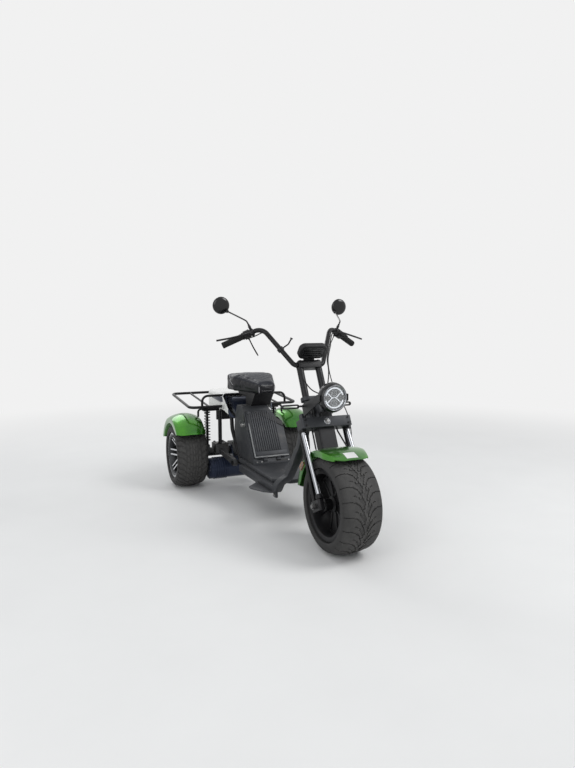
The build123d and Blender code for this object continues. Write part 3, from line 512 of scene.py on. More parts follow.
@dataclass(frozen=True)
class PowderCoat:
    """Fine grained powder coat with slightly worn edges and dust."""

    name: str
    colour: Point
    rough: float = 0.48
    grain: float = 900.0
    metallic: float = 0.35
    wear: float = 0.35
    dust: float = 0.12

    def make(self) -> bpy.types.Material:
        """Build the material."""
        n = Nodes(self.name)
        n.set(Metallic=self.metallic, Specular_IOR_Level=0.3)
        cloud = n.noise(5.0, 5)
        base = n.ramp(cloud, ((0.3, shade(self.colour, 0.86)), (0.7, shade(self.colour, 1.16))))
        dusty = n.ramp(n.noise(16.0, 6, 0.7), ((0.52, (0, 0, 0)), (0.8, (self.dust,) * 3)))
        base = n.mix(dusty, base, (0.34, 0.31, 0.27))
        worn = n.math("MULTIPLY", n.edges(), self.wear)
        n.colour(n.mix(worn, base, shade(self.colour, 2.6)))
        n.rough(n.spread(n.noise(40.0, 4), self.rough - 0.07, self.rough + 0.1))
        n.bump(n.noise(self.grain, 2), 0.16, 0.0005)
        return n.material


@dataclass(frozen=True)
class BrightMetal:
    """Chrome or bare metal with faint smudges and fine lines."""

    name: str
    colour: Point
    low: float = 0.05
    high: float = 0.16
    lines: Point = (1, 1, 1)
    line_scale: float = 90.0
    bump_height: float = 0.0001

    def make(self) -> bpy.types.Material:
        """Build the material."""
        n = Nodes(self.name)
        n.set(Metallic=1.0)
        smudge = n.noise(22.0, 5, 0.65)
        brushed = n.noise(self.line_scale, 3, 0.6, n.mapped(scale=self.lines))
        n.colour(n.ramp(smudge, ((0.25, shade(self.colour, 0.84)), (0.6, self.colour))))
        mixed = n.math("MULTIPLY", smudge, brushed)
        n.rough(n.spread(n.math("MULTIPLY", mixed, 2.4), self.low, self.high))
        n.bump(brushed, 0.12, self.bump_height)
        return n.material


@dataclass(frozen=True)
class CastMetal:
    """Sand cast metal with patches of dust."""

    name: str
    colour: Point
    dirt: Point = (0.12, 0.10, 0.08)

    def make(self) -> bpy.types.Material:
        """Build the material."""
        n = Nodes(self.name)
        n.set(Metallic=0.7)
        skin = n.noise(260.0, 6, 0.7)
        grime = n.ramp(n.noise(14.0, 6, 0.7), ((0.42, (0, 0, 0)), (0.75, (0.75, 0.75, 0.75))))
        base = n.ramp(skin, ((0.3, shade(self.colour, 0.8)), (0.7, shade(self.colour, 1.1))))
        n.colour(n.mix(grime, base, self.dirt))
        n.rough(n.spread(n.noise(30.0, 4), 0.42, 0.68))
        n.bump(skin, 0.35, 0.0008)
        return n.material


@dataclass(frozen=True)
class TyreRubber:
    """Worn rubber: brown dust on the tread, ribs and fine moulding lines on the walls."""

    name: str
    centre: Point
    tread_r: float
    dust: float = 0.55

    def make(self) -> bpy.types.Material:
        """Build the material."""
        n = Nodes(self.name)
        n.set(Specular_IOR_Level=0.35)
        local = n.mapped(self.centre, (0, 1, 1))
        length = n.add("VectorMath", operation="LENGTH")
        n.link(local, length.inputs[0])
        radius = length.outputs["Value"]
        reach = n.add("MapRange")
        reach.inputs["From Min"].default_value = self.tread_r - 0.03
        reach.inputs["From Max"].default_value = self.tread_r
        n.link(radius, reach.inputs["Value"])
        fine = n.noise(380.0, 8, 0.75)
        broad = n.noise(24.0, 6, 0.65)
        base = n.ramp(fine, ((0.3, (0.016, 0.016, 0.017)), (0.7, (0.042, 0.041, 0.040))))
        dusty = n.math("MULTIPLY", n.math("MULTIPLY", reach.outputs["Result"], broad), self.dust * 1.7)
        side = n.math("MULTIPLY", n.math("POWER", broad, 3.0), 0.5)
        tan = n.mix(n.math("ADD", dusty, side), base, (0.088, 0.086, 0.083))
        specks = n.ramp(n.noise(900.0, 3, 0.7), ((0.57, (0, 0, 0)), (0.66, (1, 1, 1))))
        grit = n.math(
            "MULTIPLY", n.math("MULTIPLY", specks, reach.outputs["Result"]), n.math("POWER", broad, 1.5),
        )
        n.colour(n.mix(grit, tan, (0.30, 0.29, 0.27)))
        n.rough(n.spread(broad, 0.66, 0.9))
        rings = n.math("SINE", n.math("MULTIPLY", radius, 1900.0))
        wall = n.math("MULTIPLY", rings, n.math("SUBTRACT", 1.0, reach.outputs["Result"]))
        first = n.bump(wall, 0.18, 0.0004)
        n.bump(fine, 0.35, 0.0008, first)
        return n.material


@dataclass(frozen=True)
class Plastic:
    """Moulded plastic with a fine grain."""

    name: str
    colour: Point
    rough: float = 0.5
    grain: float = 1300.0
    height: float = 0.0003
    coat: float = 0.0

    def make(self) -> bpy.types.Material:
        """Build the material."""
        n = Nodes(self.name)
        n.set(Coat_Weight=self.coat, Coat_Roughness=0.08, Specular_IOR_Level=0.32)
        cloud = n.noise(9.0, 4)
        base = n.ramp(cloud, ((0.3, shade(self.colour, 0.9)), (0.7, shade(self.colour, 1.08))))
        scuff = n.ramp(n.noise(70.0, 7, 0.75), ((0.62, (0, 0, 0)), (0.8, (0.18, 0.18, 0.18))))
        n.colour(n.mix(scuff, base, shade(self.colour, 1.6)))
        n.rough(n.spread(n.noise(55.0, 4), self.rough - 0.06, self.rough + 0.09))
        n.bump(n.cells(self.grain), 0.2, self.height)
        return n.material


@dataclass(frozen=True)
class Leather:
    """Soft synthetic leather with pebbled grain and fine creases."""

    name: str
    colour: Point

    def make(self) -> bpy.types.Material:
        """Build the material."""
        n = Nodes(self.name)
        n.set(Specular_IOR_Level=0.32)
        pebbles = n.cells(620.0)
        creases = n.noise(38.0, 7, 0.6)
        base = n.ramp(creases, ((0.3, shade(self.colour, 0.75)), (0.72, shade(self.colour, 1.35))))
        n.colour(
            n.mix(n.ramp(pebbles, ((0.0, (0, 0, 0)), (0.5, (0.5, 0.5, 0.5)))), base, shade(self.colour, 0.55))
        )
        n.rough(n.spread(creases, 0.3, 0.5))
        first = n.bump(creases, 0.35, 0.002)
        n.bump(pebbles, 0.3, 0.0006, first)
        return n.material


@dataclass(frozen=True)
class Clear:
    """Clear or tinted lens with moulded flutes."""

    name: str
    colour: Point
    flutes: float = 500.0
    strength: float = 0.1
    rough: float = 0.06

    def make(self) -> bpy.types.Material:
        """Build the material."""
        n = Nodes(self.name)
        n.set(Transmission_Weight=0.9, IOR=1.46, Coat_Weight=0.5, Coat_Roughness=0.03)
        n.colour(n.ramp(n.noise(30.0, 2), ((0.2, shade(self.colour, 0.92)), (0.8, self.colour))))
        n.rough(n.spread(n.noise(90.0, 3), self.rough, self.rough + 0.05))
        wave = n.add("TexWave")
        wave.inputs["Scale"].default_value = self.flutes
        n.link(n.place, wave.inputs["Vector"])
        n.bump(wave.outputs["Fac"], self.strength, 0.0006)
        return n.material


@dataclass(frozen=True)
class Glow:
    """Milky light guide."""

    name: str
    colour: Point
    strength: float

    def make(self) -> bpy.types.Material:
        """Build the material."""
        n = Nodes(self.name)
        n.set(Emission_Strength=self.strength, Roughness=0.35)
        tint = n.ramp(n.noise(60.0, 2), ((0.3, shade(self.colour, 0.93)), (0.7, self.colour)))
        n.colour(tint)
        n.link(tint, n.shader.inputs["Emission Color"])
        return n.material


class Finish(Enum):
    """Every finish on the scooter."""

    GREEN = CandyPaint("candy_green", (0.055, 0.275, 0.006), (0.010, 0.095, 0.008))
    ANTHRACITE = PowderCoat("anthracite_coat", (0.034, 0.036, 0.040), 0.46)
    BLACK = PowderCoat("satin_black", (0.007, 0.007, 0.008), 0.36, 700.0, 0.2, 0.5, 0.03)
    # Blue-black finish: on the motor it is black with a painted blue sky reflection; on the tail cowl it is
    # painted shade, in the blue of a shadow on white.
    BLUE_SHADE_AND_SKY_REFLECTION = PowderCoat("painted_blue_shade_and_sky_reflection", (0.020, 0.026, 0.045), 0.3, 500.0, 0.4, 0.5, 0.1)
    CHROME = BrightMetal("polished_chrome", (0.32, 0.33, 0.35))
    STEEL = BrightMetal("ground_steel", (0.48, 0.49, 0.51), 0.22, 0.4, (1, 1, 14), 60.0, 0.0003)
    ZINC = BrightMetal("zinc_bolts", (0.20, 0.20, 0.20), 0.26, 0.44)
    MACHINED = BrightMetal("machined_face", (0.62, 0.63, 0.65), 0.16, 0.3, (30, 1, 1), 40.0, 0.0002)
    CAST = CastMetal("cast_blocks", (0.085, 0.088, 0.092), (0.06, 0.052, 0.045))
    BORDER = CastMetal("pale_border", (0.17, 0.175, 0.18), (0.11, 0.105, 0.10))
    HUB = CastMetal("hub_sleeve", (0.15, 0.155, 0.16), (0.07, 0.068, 0.064))
    RIM_BLACK = PowderCoat("rim_black", (0.007, 0.007, 0.008), 0.42, 900.0, 0.3, 0.25, 0.03)
    RIM_GREY = PowderCoat("rim_dark_grey", (0.045, 0.047, 0.050), 0.38, 900.0, 0.7, 0.4, 0.1)
    MATT_BLACK = Plastic("black_plastic", (0.009, 0.009, 0.010), 0.46)
    GLOSS_BLACK = Plastic("gloss_black", (0.005, 0.005, 0.006), 0.16, 300.0, 0.0001, 0.25)
    WHITE = Plastic("white_panel", (0.80, 0.80, 0.78), 0.25, 400.0, 0.0001, 0.5)
    RUBBER = Plastic("grip_rubber", (0.010, 0.010, 0.010), 0.68, 900.0)
    LEATHER = Leather("seat_leather", (0.008, 0.010, 0.018))
    # Darker, less blue copy of the seat leather: painted shade on the seat's sides and nose.
    LEATHER_SHADED_SIDE = Leather("seat_side_leather_with_painted_shade", (0.009, 0.009, 0.012))
    PIPING = Plastic("seat_piping", (0.56, 0.56, 0.57), 0.5, 800.0)
    THREAD = Plastic("seat_thread", (0.060, 0.075, 0.105), 0.6, 800.0)
    LENS = Clear("clear_lens", (0.96, 0.98, 1.0))
    AMBER = Clear("amber_lens", (0.95, 0.36, 0.06), 700.0, 0.5, 0.12)
    RED = Clear("red_lens", (0.75, 0.03, 0.02), 700.0, 0.5, 0.12)
    LED = Glow("light_guide", (0.95, 0.97, 1.0), 0.55)
    SILVER_GLASS = BrightMetal("silvered_glass", (0.86, 0.88, 0.90), 0.0, 0.04)
    SCREEN = Plastic("display_screen", (0.012, 0.016, 0.020), 0.12, 200.0, 0.00005, 0.9)
    DIGITS = Glow("display_digits", (0.55, 0.75, 0.80), 0.25)
    LABEL = Plastic("blank_label", (0.78, 0.78, 0.77), 0.4, 600.0, 0.0001)


class Palette:
    """Materials made once from their finishes."""

    def __init__(self) -> None:
        """Start with nothing made."""
        self.made: dict[str, bpy.types.Material] = {}

    def get(self, finish: object) -> bpy.types.Material:
        """The material of a finish, made at its first use."""
        recipe = finish.value if isinstance(finish, Finish) else finish
        if recipe.name not in self.made:
            self.made[recipe.name] = recipe.make()
        return self.made[recipe.name]


PALETTE = Palette()


def dress_node(node: str, finish: object) -> None:
    """Give a frame node its finish."""
    mesh = frame["nodes"][node].data
    mesh.materials.clear()
    mesh.materials.append(PALETTE.get(finish))
    LOG.info("node %s dressed", node)


def settle(
    piece: bpy.types.Object,
    body: Body,
    finish: object,
    replaces: Sequence[str] = (),
    crisp: float = CRISP,
) -> bpy.types.Object:
    """Finish a piece: shading, material, slot and the body that it rides on.

    Args:
        piece: The modelled piece.
        body: Body that carries it.
        finish: Its finish.
        replaces: Frame nodes that it stands for.
        crisp: Angle above which an edge stays sharp.

    Returns:
        The piece.
    """
    activate(piece)
    bpy.ops.object.shade_smooth_by_angle(angle=crisp)
    piece.data.materials.clear()
    piece.data.materials.append(PALETTE.get(finish))
    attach(piece, body.value)
    if replaces:
        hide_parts(*replaces)
    LOG.info("piece %s on %s", piece.name, body.value)
    return piece


def paint_faces(
    piece: bpy.types.Object, finish: object, chosen: Callable[[bpy.types.MeshPolygon], bool],
) -> None:
    """Give the chosen faces of a piece a second finish."""
    piece.data.materials.append(PALETTE.get(finish))
    index = len(piece.data.materials) - 1
    for face in piece.data.polygons:
        if chosen(face):
            face.material_index = index


# Places read from the frame


@dataclass
class Places:
    """Hubs, axes and directions of the frame that the pieces are placed by."""

    front_low: Vector = field(init=False)
    front_high: Vector = field(init=False)
    front_hub: Vector = field(init=False)
    rear_hub: Vector = field(init=False)
    steer: Matrix = field(init=False)
    bar_end: Vector = field(init=False)
    bar_way: Vector = field(init=False)

    def __post_init__(self) -> None:
        """Read the boxes, joints and mounts."""
        self.front_low, self.front_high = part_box("front_tyre")
        self.front_hub = (self.front_low + self.front_high) / 2
        low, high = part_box("rear_rim_left")
        self.rear_hub = (low + high) / 2
        joint = next(j for j in frame["joints"] if j["name"] == "steering")
        z = Vector(joint["axis"]).normalized()
        x = Vector((1, 0, 0))
        y = z.cross(x)
        self.steer = Matrix.Translation(self.front_hub) @ Matrix((x, y, z)).transposed().to_4x4()
        mount = next(m for m in frame["record"]["mounts"] if m["name"] == "bar_end_left")
        self.bar_end = Vector(mount["pos_m"])
        self.bar_way = Vector(mount["axis"]).normalized()

    def fork(self, x: float, back: float, up: float) -> Point:
        """Point in the steering frame, in metres."""
        return tuple(self.steer @ Vector((x, back, up)))

    def grip(self, forward: float, above: float, inboard: float) -> Point:
        """Point beside the left bar end, in metres."""
        ahead = (
            Vector((0.33, -0.93, -0.16)) - self.bar_way * Vector((0.33, -0.93, -0.16)).dot(self.bar_way)
        ).normalized()
        up = self.bar_way.cross(ahead) * -1
        return tuple(self.bar_end + ahead * forward + up * above - self.bar_way * inboard)


PLACES = Places()


def hex_heads(
    name: str, spots: Sequence[tuple[Point, Point]], radius: float, height: float,
) -> bpy.types.Object:
    """Hexagon bolt heads with washers, joined.

    Args:
        name: Object name.
        spots: Seats as (centre, outward normal).
        radius: Radius over the corners.
        height: Height of a head.

    Returns:
        The joined heads.
    """
    parts = []
    for index, (centre, normal) in enumerate(spots):
        plane = facing(centre, normal, (0.31, 0.52, 0.79))
        washer = prism(f"{name}_w{index}", disc_outline(radius * 1.35, 20), plane, height * 0.22)
        lifted = plane @ Matrix.Translation((0, 0, height * 0.22))
        head = prism(f"{name}_h{index}", disc_outline(radius, 6), lifted, height * 0.78, height * 0.16, 2)
        parts += [washer, head]
    return join(name, parts)


def socket_heads(
    name: str, spots: Sequence[tuple[Point, Point]], radius: float, height: float,
) -> bpy.types.Object:
    """Round screw heads with a hexagon socket, joined."""
    parts = []
    for index, (centre, normal) in enumerate(spots):
        rim, deep = radius * 0.52, height * 0.45
        section = (
            (0, 0), (0, radius), (height * 0.8, radius), (height, radius * 0.85),
            (height, rim), (deep, rim * 0.9), (deep, 0),
        )
        parts.append(lathe(f"{name}_{index}", section, centre, normal, 12, zero=(0.3, 0.5, 0.8)))
    return join(name, parts)


@dataclass
class FatTyre:
    """Fat tyre with tread grooves sunk into its crown."""

    node: str
    body: Body
    rim_r: float
    bead_half: float
    groove: Callable[[int, int], bool]
    columns: int = 22
    steps: int = 168
    depth: float = 0.0045
    wall: float = 0.014

    def build(self) -> bpy.types.Object:
        """Model the tyre over its frame node.

        Returns:
            The finished tyre.
        """
        low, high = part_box(self.node)
        centre = (low + high) / 2
        radius = (high.y - low.y) / 2
        half = (high.x - low.x) / 2
        edge = 0.62 * half
        drop = 0.08 * half
        shoulder_r = radius - 0.38 * half
        outer = []
        for column in range(self.columns + 1):
            a = edge * (2 * column / self.columns - 1)
            outer.append((a, radius - drop * (a / edge) ** 2))
        for step in range(1, 6):
            angle = math.radians(90 * step / 5)
            outer.append(
                (
                    edge + (half - edge) * math.sin(angle),
                    shoulder_r + (radius - drop - shoulder_r) * math.cos(angle),
                )
            )
        belly = self.rim_r + 0.3 * (shoulder_r - self.rim_r)
        outer += [
            (half, belly + 0.004),
            (half - 0.004, belly - 0.004),
            (self.bead_half + 0.005, self.rim_r + 0.0045),
            (self.bead_half - 0.001, self.rim_r + 0.002),
        ]
        right = [(-a, r) for a, r in outer[self.columns + 1:]]
        inner = [
            (-self.bead_half + self.wall, self.rim_r - 0.014),
            (-half + self.wall, belly + self.wall / 2),
            (-edge, radius - drop - self.wall),
            (edge, radius - drop - self.wall),
            (half - self.wall, belly + self.wall / 2),
            (self.bead_half - self.wall, self.rim_r - 0.014),
        ]
        section = outer + inner[::-1] + right[::-1]
        name = self.node.replace("tyre", "treaded_tyre")
        piece = lathe(name, section, tuple(centre), (1, 0, 0), self.steps)
        self.cut_tread(piece, centre, radius, half, edge)
        return settle(
            piece, self.body, TyreRubber(f"rubber_{self.node}", tuple(centre), radius), [self.node],
            math.radians(40),
        )

    def cut_tread(
        self, piece: bpy.types.Object, centre: Vector, radius: float, half: float, edge: float
    ) -> None:
        """Sink the grooves between the tread blocks.

        Args:
            piece: The smooth tyre.
            centre: Hub.
            radius: Tread radius.
            half: Half width.
            edge: Half width of the crown.
        """
        mesh = piece.data
        tread_low = radius - 0.27 * half
        pitch = 2 * edge / self.columns
        for face in mesh.polygons:
            spot = face.center - centre
            reach = math.hypot(spot.y, spot.z)
            chosen = False
            if reach > tread_low and face.normal.dot(Vector((0, spot.y, spot.z)).normalized()) > 0.15:
                step = int((math.atan2(spot.z, spot.y) / math.tau % 1.0) * self.steps)
                column = math.floor(spot.x / pitch)
                chosen = self.groove(column, step)
            face.select = chosen
        for edge_item in mesh.edges:
            edge_item.select = False
        for vertex in mesh.vertices:
            vertex.select = False
        activate(piece)
        bpy.ops.object.mode_set(mode="EDIT")
        bpy.ops.mesh.select_mode(type="FACE")
        bpy.ops.mesh.extrude_region_shrink_fatten(
            MESH_OT_extrude_region={}, TRANSFORM_OT_shrink_fatten={"value": -self.depth}
        )
        bpy.ops.mesh.select_mode(type="VERT")
        bpy.ops.object.mode_set(mode="OBJECT")


FRONT_STEPS = 336
FRONT_PITCH = 16
GROOVE_SHIFT = (0, 3, 6, 9, 11, 13, 14, 15, 16, 16, 16, 17)
GROOVE_WIDTH = (4, 4, 4, 3, 3, 2, 2, 2, 2, 1, 1, 1)


def front_groove(column: int, step: int) -> bool:
    """Front tread: grooves that sweep from the middle out to the shoulders, with sipes between them."""
    k = min(column if column >= 0 else -column - 1, len(GROOVE_SHIFT) - 1)
    turn = (step + GROOVE_SHIFT[k] + (FRONT_PITCH // 2 if column < 0 else 0)) % FRONT_PITCH
    if turn < GROOVE_WIDTH[k]:
        return True
    return 1 <= k <= 5 and turn - 8 in (0, 1, 2) or 7 <= k <= 9 and turn == 9


def rear_groove(column: int, step: int) -> bool:
    """Rear tread: close set small blocks."""
    k = column if column >= 0 else -column - 1
    if k in (1, 4, 8):
        return True
    return (step + (2 if k > 4 else 0) + (k // 2)) % 5 == 0


@dataclass
class FrontWheel:
    """Front wheel: tyre, deep black rim with broad spokes, disc bolts."""

    spoke_count: int = 5
    hub_r: float = 0.027
    hub_half: float = 0.0915
    barrel_r: float = 0.1442
    rim_r: float = 0.174
    rim_half: float = 0.093
    spoke_x: float = -0.040
    sleeve_bore: float = 0.0125

    def build(self) -> None:
        """Model the wheel's pieces."""
        FatTyre("front_tyre", Body.FRONT_WHEEL, self.rim_r, 0.085, front_groove, 24, FRONT_STEPS).build()
        self.rim()
        bore = self.sleeve_bore
        sleeve = (
            (-0.092, bore), (-0.092, 0.0220), (-0.090, 0.0245), (-0.084, 0.0245), (-0.083, 0.0225),
            (-0.079, 0.0225),
            (-0.078, 0.0262), (-0.070, 0.0262), (-0.069, 0.0245), (-0.066, 0.0245), (-0.065, 0.0262),
            (-0.050, 0.0262),
            (-0.050, bore),
        )
        ribs = lathe("hub_sleeve", sleeve, tuple(PLACES.front_hub), (1, 0, 0), 48)
        settle(ribs, Body.FRONT_WHEEL, Finish.HUB)
        dress_node("front_disc", Finish.STEEL)
        hub = PLACES.front_hub
        disc_low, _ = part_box("front_disc")
        spots = []
        for index in range(6):
            angle = math.tau * (index + 0.5) / 6
            spot = (disc_low.x + 0.004, hub.y + 0.036 * math.cos(angle), hub.z + 0.036 * math.sin(angle))
            spots.append((spot, (1, 0, 0)))
        settle(socket_heads("disc_bolts", spots, 0.005, 0.004), Body.FRONT_WHEEL, Finish.ZINC)

    def rim(self) -> None:
        """Model the rim with its hub and pocketed spokes."""
        hub = tuple(PLACES.front_hub)
        lip = 0.0085
        r = self.rim_r
        section = (
            (-self.rim_half, r), (-self.rim_half + lip, r), (-self.rim_half + lip, r - 0.019),
            (-0.055, r - 0.0221),
            (0.055, r - 0.0221), (self.rim_half - lip, r - 0.019), (self.rim_half - lip, r),
            (self.rim_half, r),
            (self.rim_half, r - 0.012), (self.rim_half - 0.004, r - 0.024), (0.05, self.barrel_r),
            (-0.05, self.barrel_r), (-self.rim_half + 0.004, r - 0.024), (-self.rim_half, r - 0.012),
        )
        barrel = lathe("front_barrel", section, hub, (1, 0, 0), 128)
        apply_modifier(barrel, "BEVEL", width=0.0012, segments=2, limit_method="ANGLE", angle_limit=CRISP)
        bore = 0.0085
        hub_section = (
            (-self.hub_half, bore), (-self.hub_half, self.hub_r - 0.002),
            (-self.hub_half + 0.002, self.hub_r),
            (-0.055, self.hub_r), (-0.048, self.hub_r + 0.012), (-0.018, self.hub_r + 0.012),
            (-0.012, self.hub_r),
            (self.hub_half - 0.002, self.hub_r), (self.hub_half, self.hub_r - 0.002), (self.hub_half, bore),
        )
        core = lathe("front_core", hub_section, hub, (1, 0, 0), 64)
        plane = facing((self.spoke_x, hub[1], hub[2]), (1, 0, 0), (0, 1, 0))
        outline = (
            (self.hub_r, -0.021), (0.09, -0.030), (self.barrel_r + 0.001, -0.046),
            (self.barrel_r + 0.001, 0.046), (0.09, 0.030), (self.hub_r, 0.021),
        )
        spoke = prism("front_spoke", outline, plane, 0.014, 0.003)
        self.pocket(spoke)
        turns = [
            about(hub, (1, 0, 0), 360 * index / self.spoke_count - 90) for index in range(self.spoke_count)
        ]
        rim = join("front_alloy_rim", [barrel, core, *copies(spoke, turns)])
        settle(rim, Body.FRONT_WHEEL, Finish.RIM_BLACK, ["front_rim"], math.radians(30))

    def pocket(self, spoke: bpy.types.Object) -> None:
        """Sink a pocket into the outer face of a spoke.

        Args:
            spoke: The spoke's plate.
        """
        for face in spoke.data.polygons:
            face.select = face.normal.x < -0.9 and face.area > 0.002
        for item in (*spoke.data.edges, *spoke.data.vertices):
            item.select = False
        activate(spoke)
        bpy.ops.object.mode_set(mode="EDIT")
        bpy.ops.mesh.select_mode(type="FACE")
        bpy.ops.mesh.inset(thickness=0.008, depth=0)
        bpy.ops.mesh.inset(thickness=0.002, depth=-0.005)
        bpy.ops.mesh.select_mode(type="VERT")
        bpy.ops.object.mode_set(mode="OBJECT")


@dataclass
class RearWheel:
    """Rear wheel: tyre and a dark rim with machined twin spokes."""

    side: Side
    body: Body
    tag: str
    spoke_count: int = 6
    rim_r: float = 0.152
    rim_half: float = 0.093
    barrel_r: float = 0.1188

    def build(self) -> None:
        """Model the wheel's pieces."""
        tyre_node = f"rear_tyre_{self.tag}"
        FatTyre(tyre_node, self.body, self.rim_r, 0.085, rear_groove, depth=0.004).build()
        low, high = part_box(f"rear_rim_{self.tag}")
        hub = tuple((low + high) / 2)
        out = self.side.value
        lip = 0.0085
        r = self.rim_r
        section = (
            (-self.rim_half, r), (-self.rim_half + lip, r), (-self.rim_half + lip, r - 0.022),
            (-0.05, r - 0.0255),
            (0.05, r - 0.0255), (self.rim_half - lip, r - 0.022), (self.rim_half - lip, r),
            (self.rim_half, r),
            (self.rim_half, r - 0.010), (self.rim_half - 0.006, r - 0.026), (0.05, self.barrel_r),
            (-0.05, self.barrel_r), (-self.rim_half + 0.006, r - 0.026), (-self.rim_half, r - 0.010),
        )
        barrel = lathe(f"barrel_{self.tag}", section, hub, (1, 0, 0), 128)
        apply_modifier(barrel, "BEVEL", width=0.0012, segments=2, limit_method="ANGLE", angle_limit=CRISP)
        core_section = (
            (-0.060, 0.0125), (-0.060, 0.032), (-0.058, 0.034), (0.044, 0.034), (0.0485, 0.031),
            (0.0495, 0.0125),
        )
        core = lathe(f"core_{self.tag}", core_section, hub, (out, 0, 0), 64)
        flat = Matrix(((out, 0, 0), (0, 0, 1), (0, 1, 0))).to_4x4()
        outline = (
            (0.028, 0.026), (0.044, 0.026), (0.048, 0.048), (0.084, self.barrel_r + 0.002),
            (0.066, self.barrel_r + 0.002),
        )
        arms = []
        for index, y in enumerate((-0.023, 0.011)):
            plane = Matrix.Translation((hub[0], hub[1] + y, hub[2])) @ flat
            arms.append(prism(f"spoke_{index}_{self.tag}", outline, plane, 0.012, 0.0022))
        pair = join(f"pair_{self.tag}", arms)
        turns = [about(hub, (1, 0, 0), 360 * i / self.spoke_count + 90) for i in range(self.spoke_count)]
        rim = join(f"alloy_rim_{self.tag}", [barrel, core, *copies(pair, turns)])
        settle(rim, self.body, Finish.RIM_GREY, [f"rear_rim_{self.tag}"], math.radians(30))

        def machined(face: bpy.types.MeshPolygon) -> bool:
            """Outer faces of spokes and the rim's edge."""
            spot = face.center
            reach = math.hypot(spot.y - hub[1], spot.z - hub[2])
            on_spoke = 0.046 < reach < self.barrel_r - 0.002 and 0.5 < face.normal.x * out < 0.98
            return on_spoke or (reach > r - 0.014 and (spot.x - hub[0]) * out > self.rim_half - 0.004)

        paint_faces(rim, Finish.MACHINED, machined)
        spots = []
        for index in range(4):
            angle = math.tau * (index + 0.5) / 4
            spot = (
                hub[0] + out * 0.0492, hub[1] + 0.0225 * math.cos(angle), hub[2] + 0.0225 * math.sin(angle),
            )
            spots.append((spot, (out, 0, 0)))
        settle(hex_heads(f"wheel_nuts_{self.tag}", spots, 0.006, 0.006), self.body, Finish.ZINC)


@dataclass
class ArchFender:
    """Pressed fender round an axle with rolled edges."""

    name: str
    node: str
    body: Body
    hub: Vector
    inner_r: float
    half: float
    lip: float
    crown: float
    start: float
    end: float
    nose_half: float = 0.0
    sheet: float = 0.003
    ease: float = 26.0
    corner: float = 5.0

    def section(self) -> list[tuple[float, float]]:
        """Closed section: crowned top with side lips turned in at their ends."""
        top = self.inner_r + self.sheet
        arc_r = (self.half**2 + self.crown**2) / (2 * self.crown)
        outer = []
        for step in range(19):
            a = self.half * (step / 9 - 1)
            outer.append((a, top + self.crown - arc_r + math.sqrt(arc_r**2 - a * a)))
        soft = 0.010
        outer[0] = (-self.half + 0.0008, outer[0][1] - soft * 0.15)
        outer[-1] = (self.half - 0.0008, outer[-1][1] - soft * 0.15)
        low = self.inner_r - self.lip
        rim = [
            (self.half, top - soft * 0.6), (self.half, low + 0.003), (self.half - 0.0008, low + 0.0008),
            (self.half - self.sheet / 2, low), (self.half - self.sheet, low + 0.002),
            (self.half - self.sheet, top - soft),
        ]
        under = [
            (a * (self.half - self.sheet) / self.half, r - self.sheet) for a, r in outer[::-1][1:-1]
        ]
        other = [(-a, r) for a, r in rim[::-1]]
        return outer + rim + under + other

    def build(self) -> bpy.types.Object:
        """Model the fender.

        Returns:
            The finished fender.
        """
        turn = math.radians(self.start)
        zero = (0, math.cos(turn), math.sin(turn))
        piece = lathe(self.name, self.section(), tuple(self.hub), (1, 0, 0), 56, self.end - self.start, zero)
        self.taper(piece)
        if self.nose_half:
            self.narrow(piece)
        return piece

    def taper(self, piece: bpy.types.Object) -> None:
        """Run the side lips out and round the corners at both ends."""
        for vertex in piece.data.vertices:
            spot = vertex.co - self.hub
            reach = math.hypot(spot.y, spot.z)
            angle = math.degrees(math.atan2(spot.z, spot.y)) % 360
            near = max(1 - (self.end - angle) / self.ease, 1 - (angle - self.start) / (self.ease * 0.6), 0.0)
            near = min(1.0, near) ** 2
            if near <= 0.0:
                continue
            if reach < self.inner_r - 0.001:
                reach += (self.inner_r - 0.001 - reach) * near * 0.75
            back = near * self.corner * (abs(spot.x) / self.half) ** 4
            angle += back if angle < 70 else -back
            turn = math.radians(angle)
            vertex.co.y = self.hub.y + reach * math.cos(turn)
            vertex.co.z = self.hub.z + reach * math.sin(turn)

    def narrow(self, piece: bpy.types.Object) -> None:
        """Draw the front end in towards the middle."""
        for vertex in piece.data.vertices:
            spot = vertex.co - self.hub
            ahead = max(0.0, min(1.0, (-spot.y - 0.02) / 0.10))
            vertex.co.x *= 1 - (1 - self.nose_half / self.half) * ahead


@dataclass
class Fenders:
    """Three fenders."""

    def build(self) -> None:
        """Model the fenders."""
        front = ArchFender(
            "front_mudguard", "front_fender", Body.STEERING, PLACES.front_hub, 0.2585, 0.111, 0.030, 0.008,
            4, 118,
            0.084,
        )
        settle(front.build(), Body.STEERING, Finish.GREEN, ["front_fender"])
        hub = PLACES.rear_hub.copy()
        hub.x = 0.390
        left = ArchFender(
            "rear_mudguard_left", "rear_fenders", Body.CHASSIS, hub, 0.253, 0.098, 0.034, 0.027, 17, 143
        ).build()
        right = twin(left, "rear_mudguard_right")
        settle(left, Body.CHASSIS, Finish.GREEN, ["rear_fenders"])
        settle(right, Body.CHASSIS, Finish.GREEN, ["rear_fenders"])


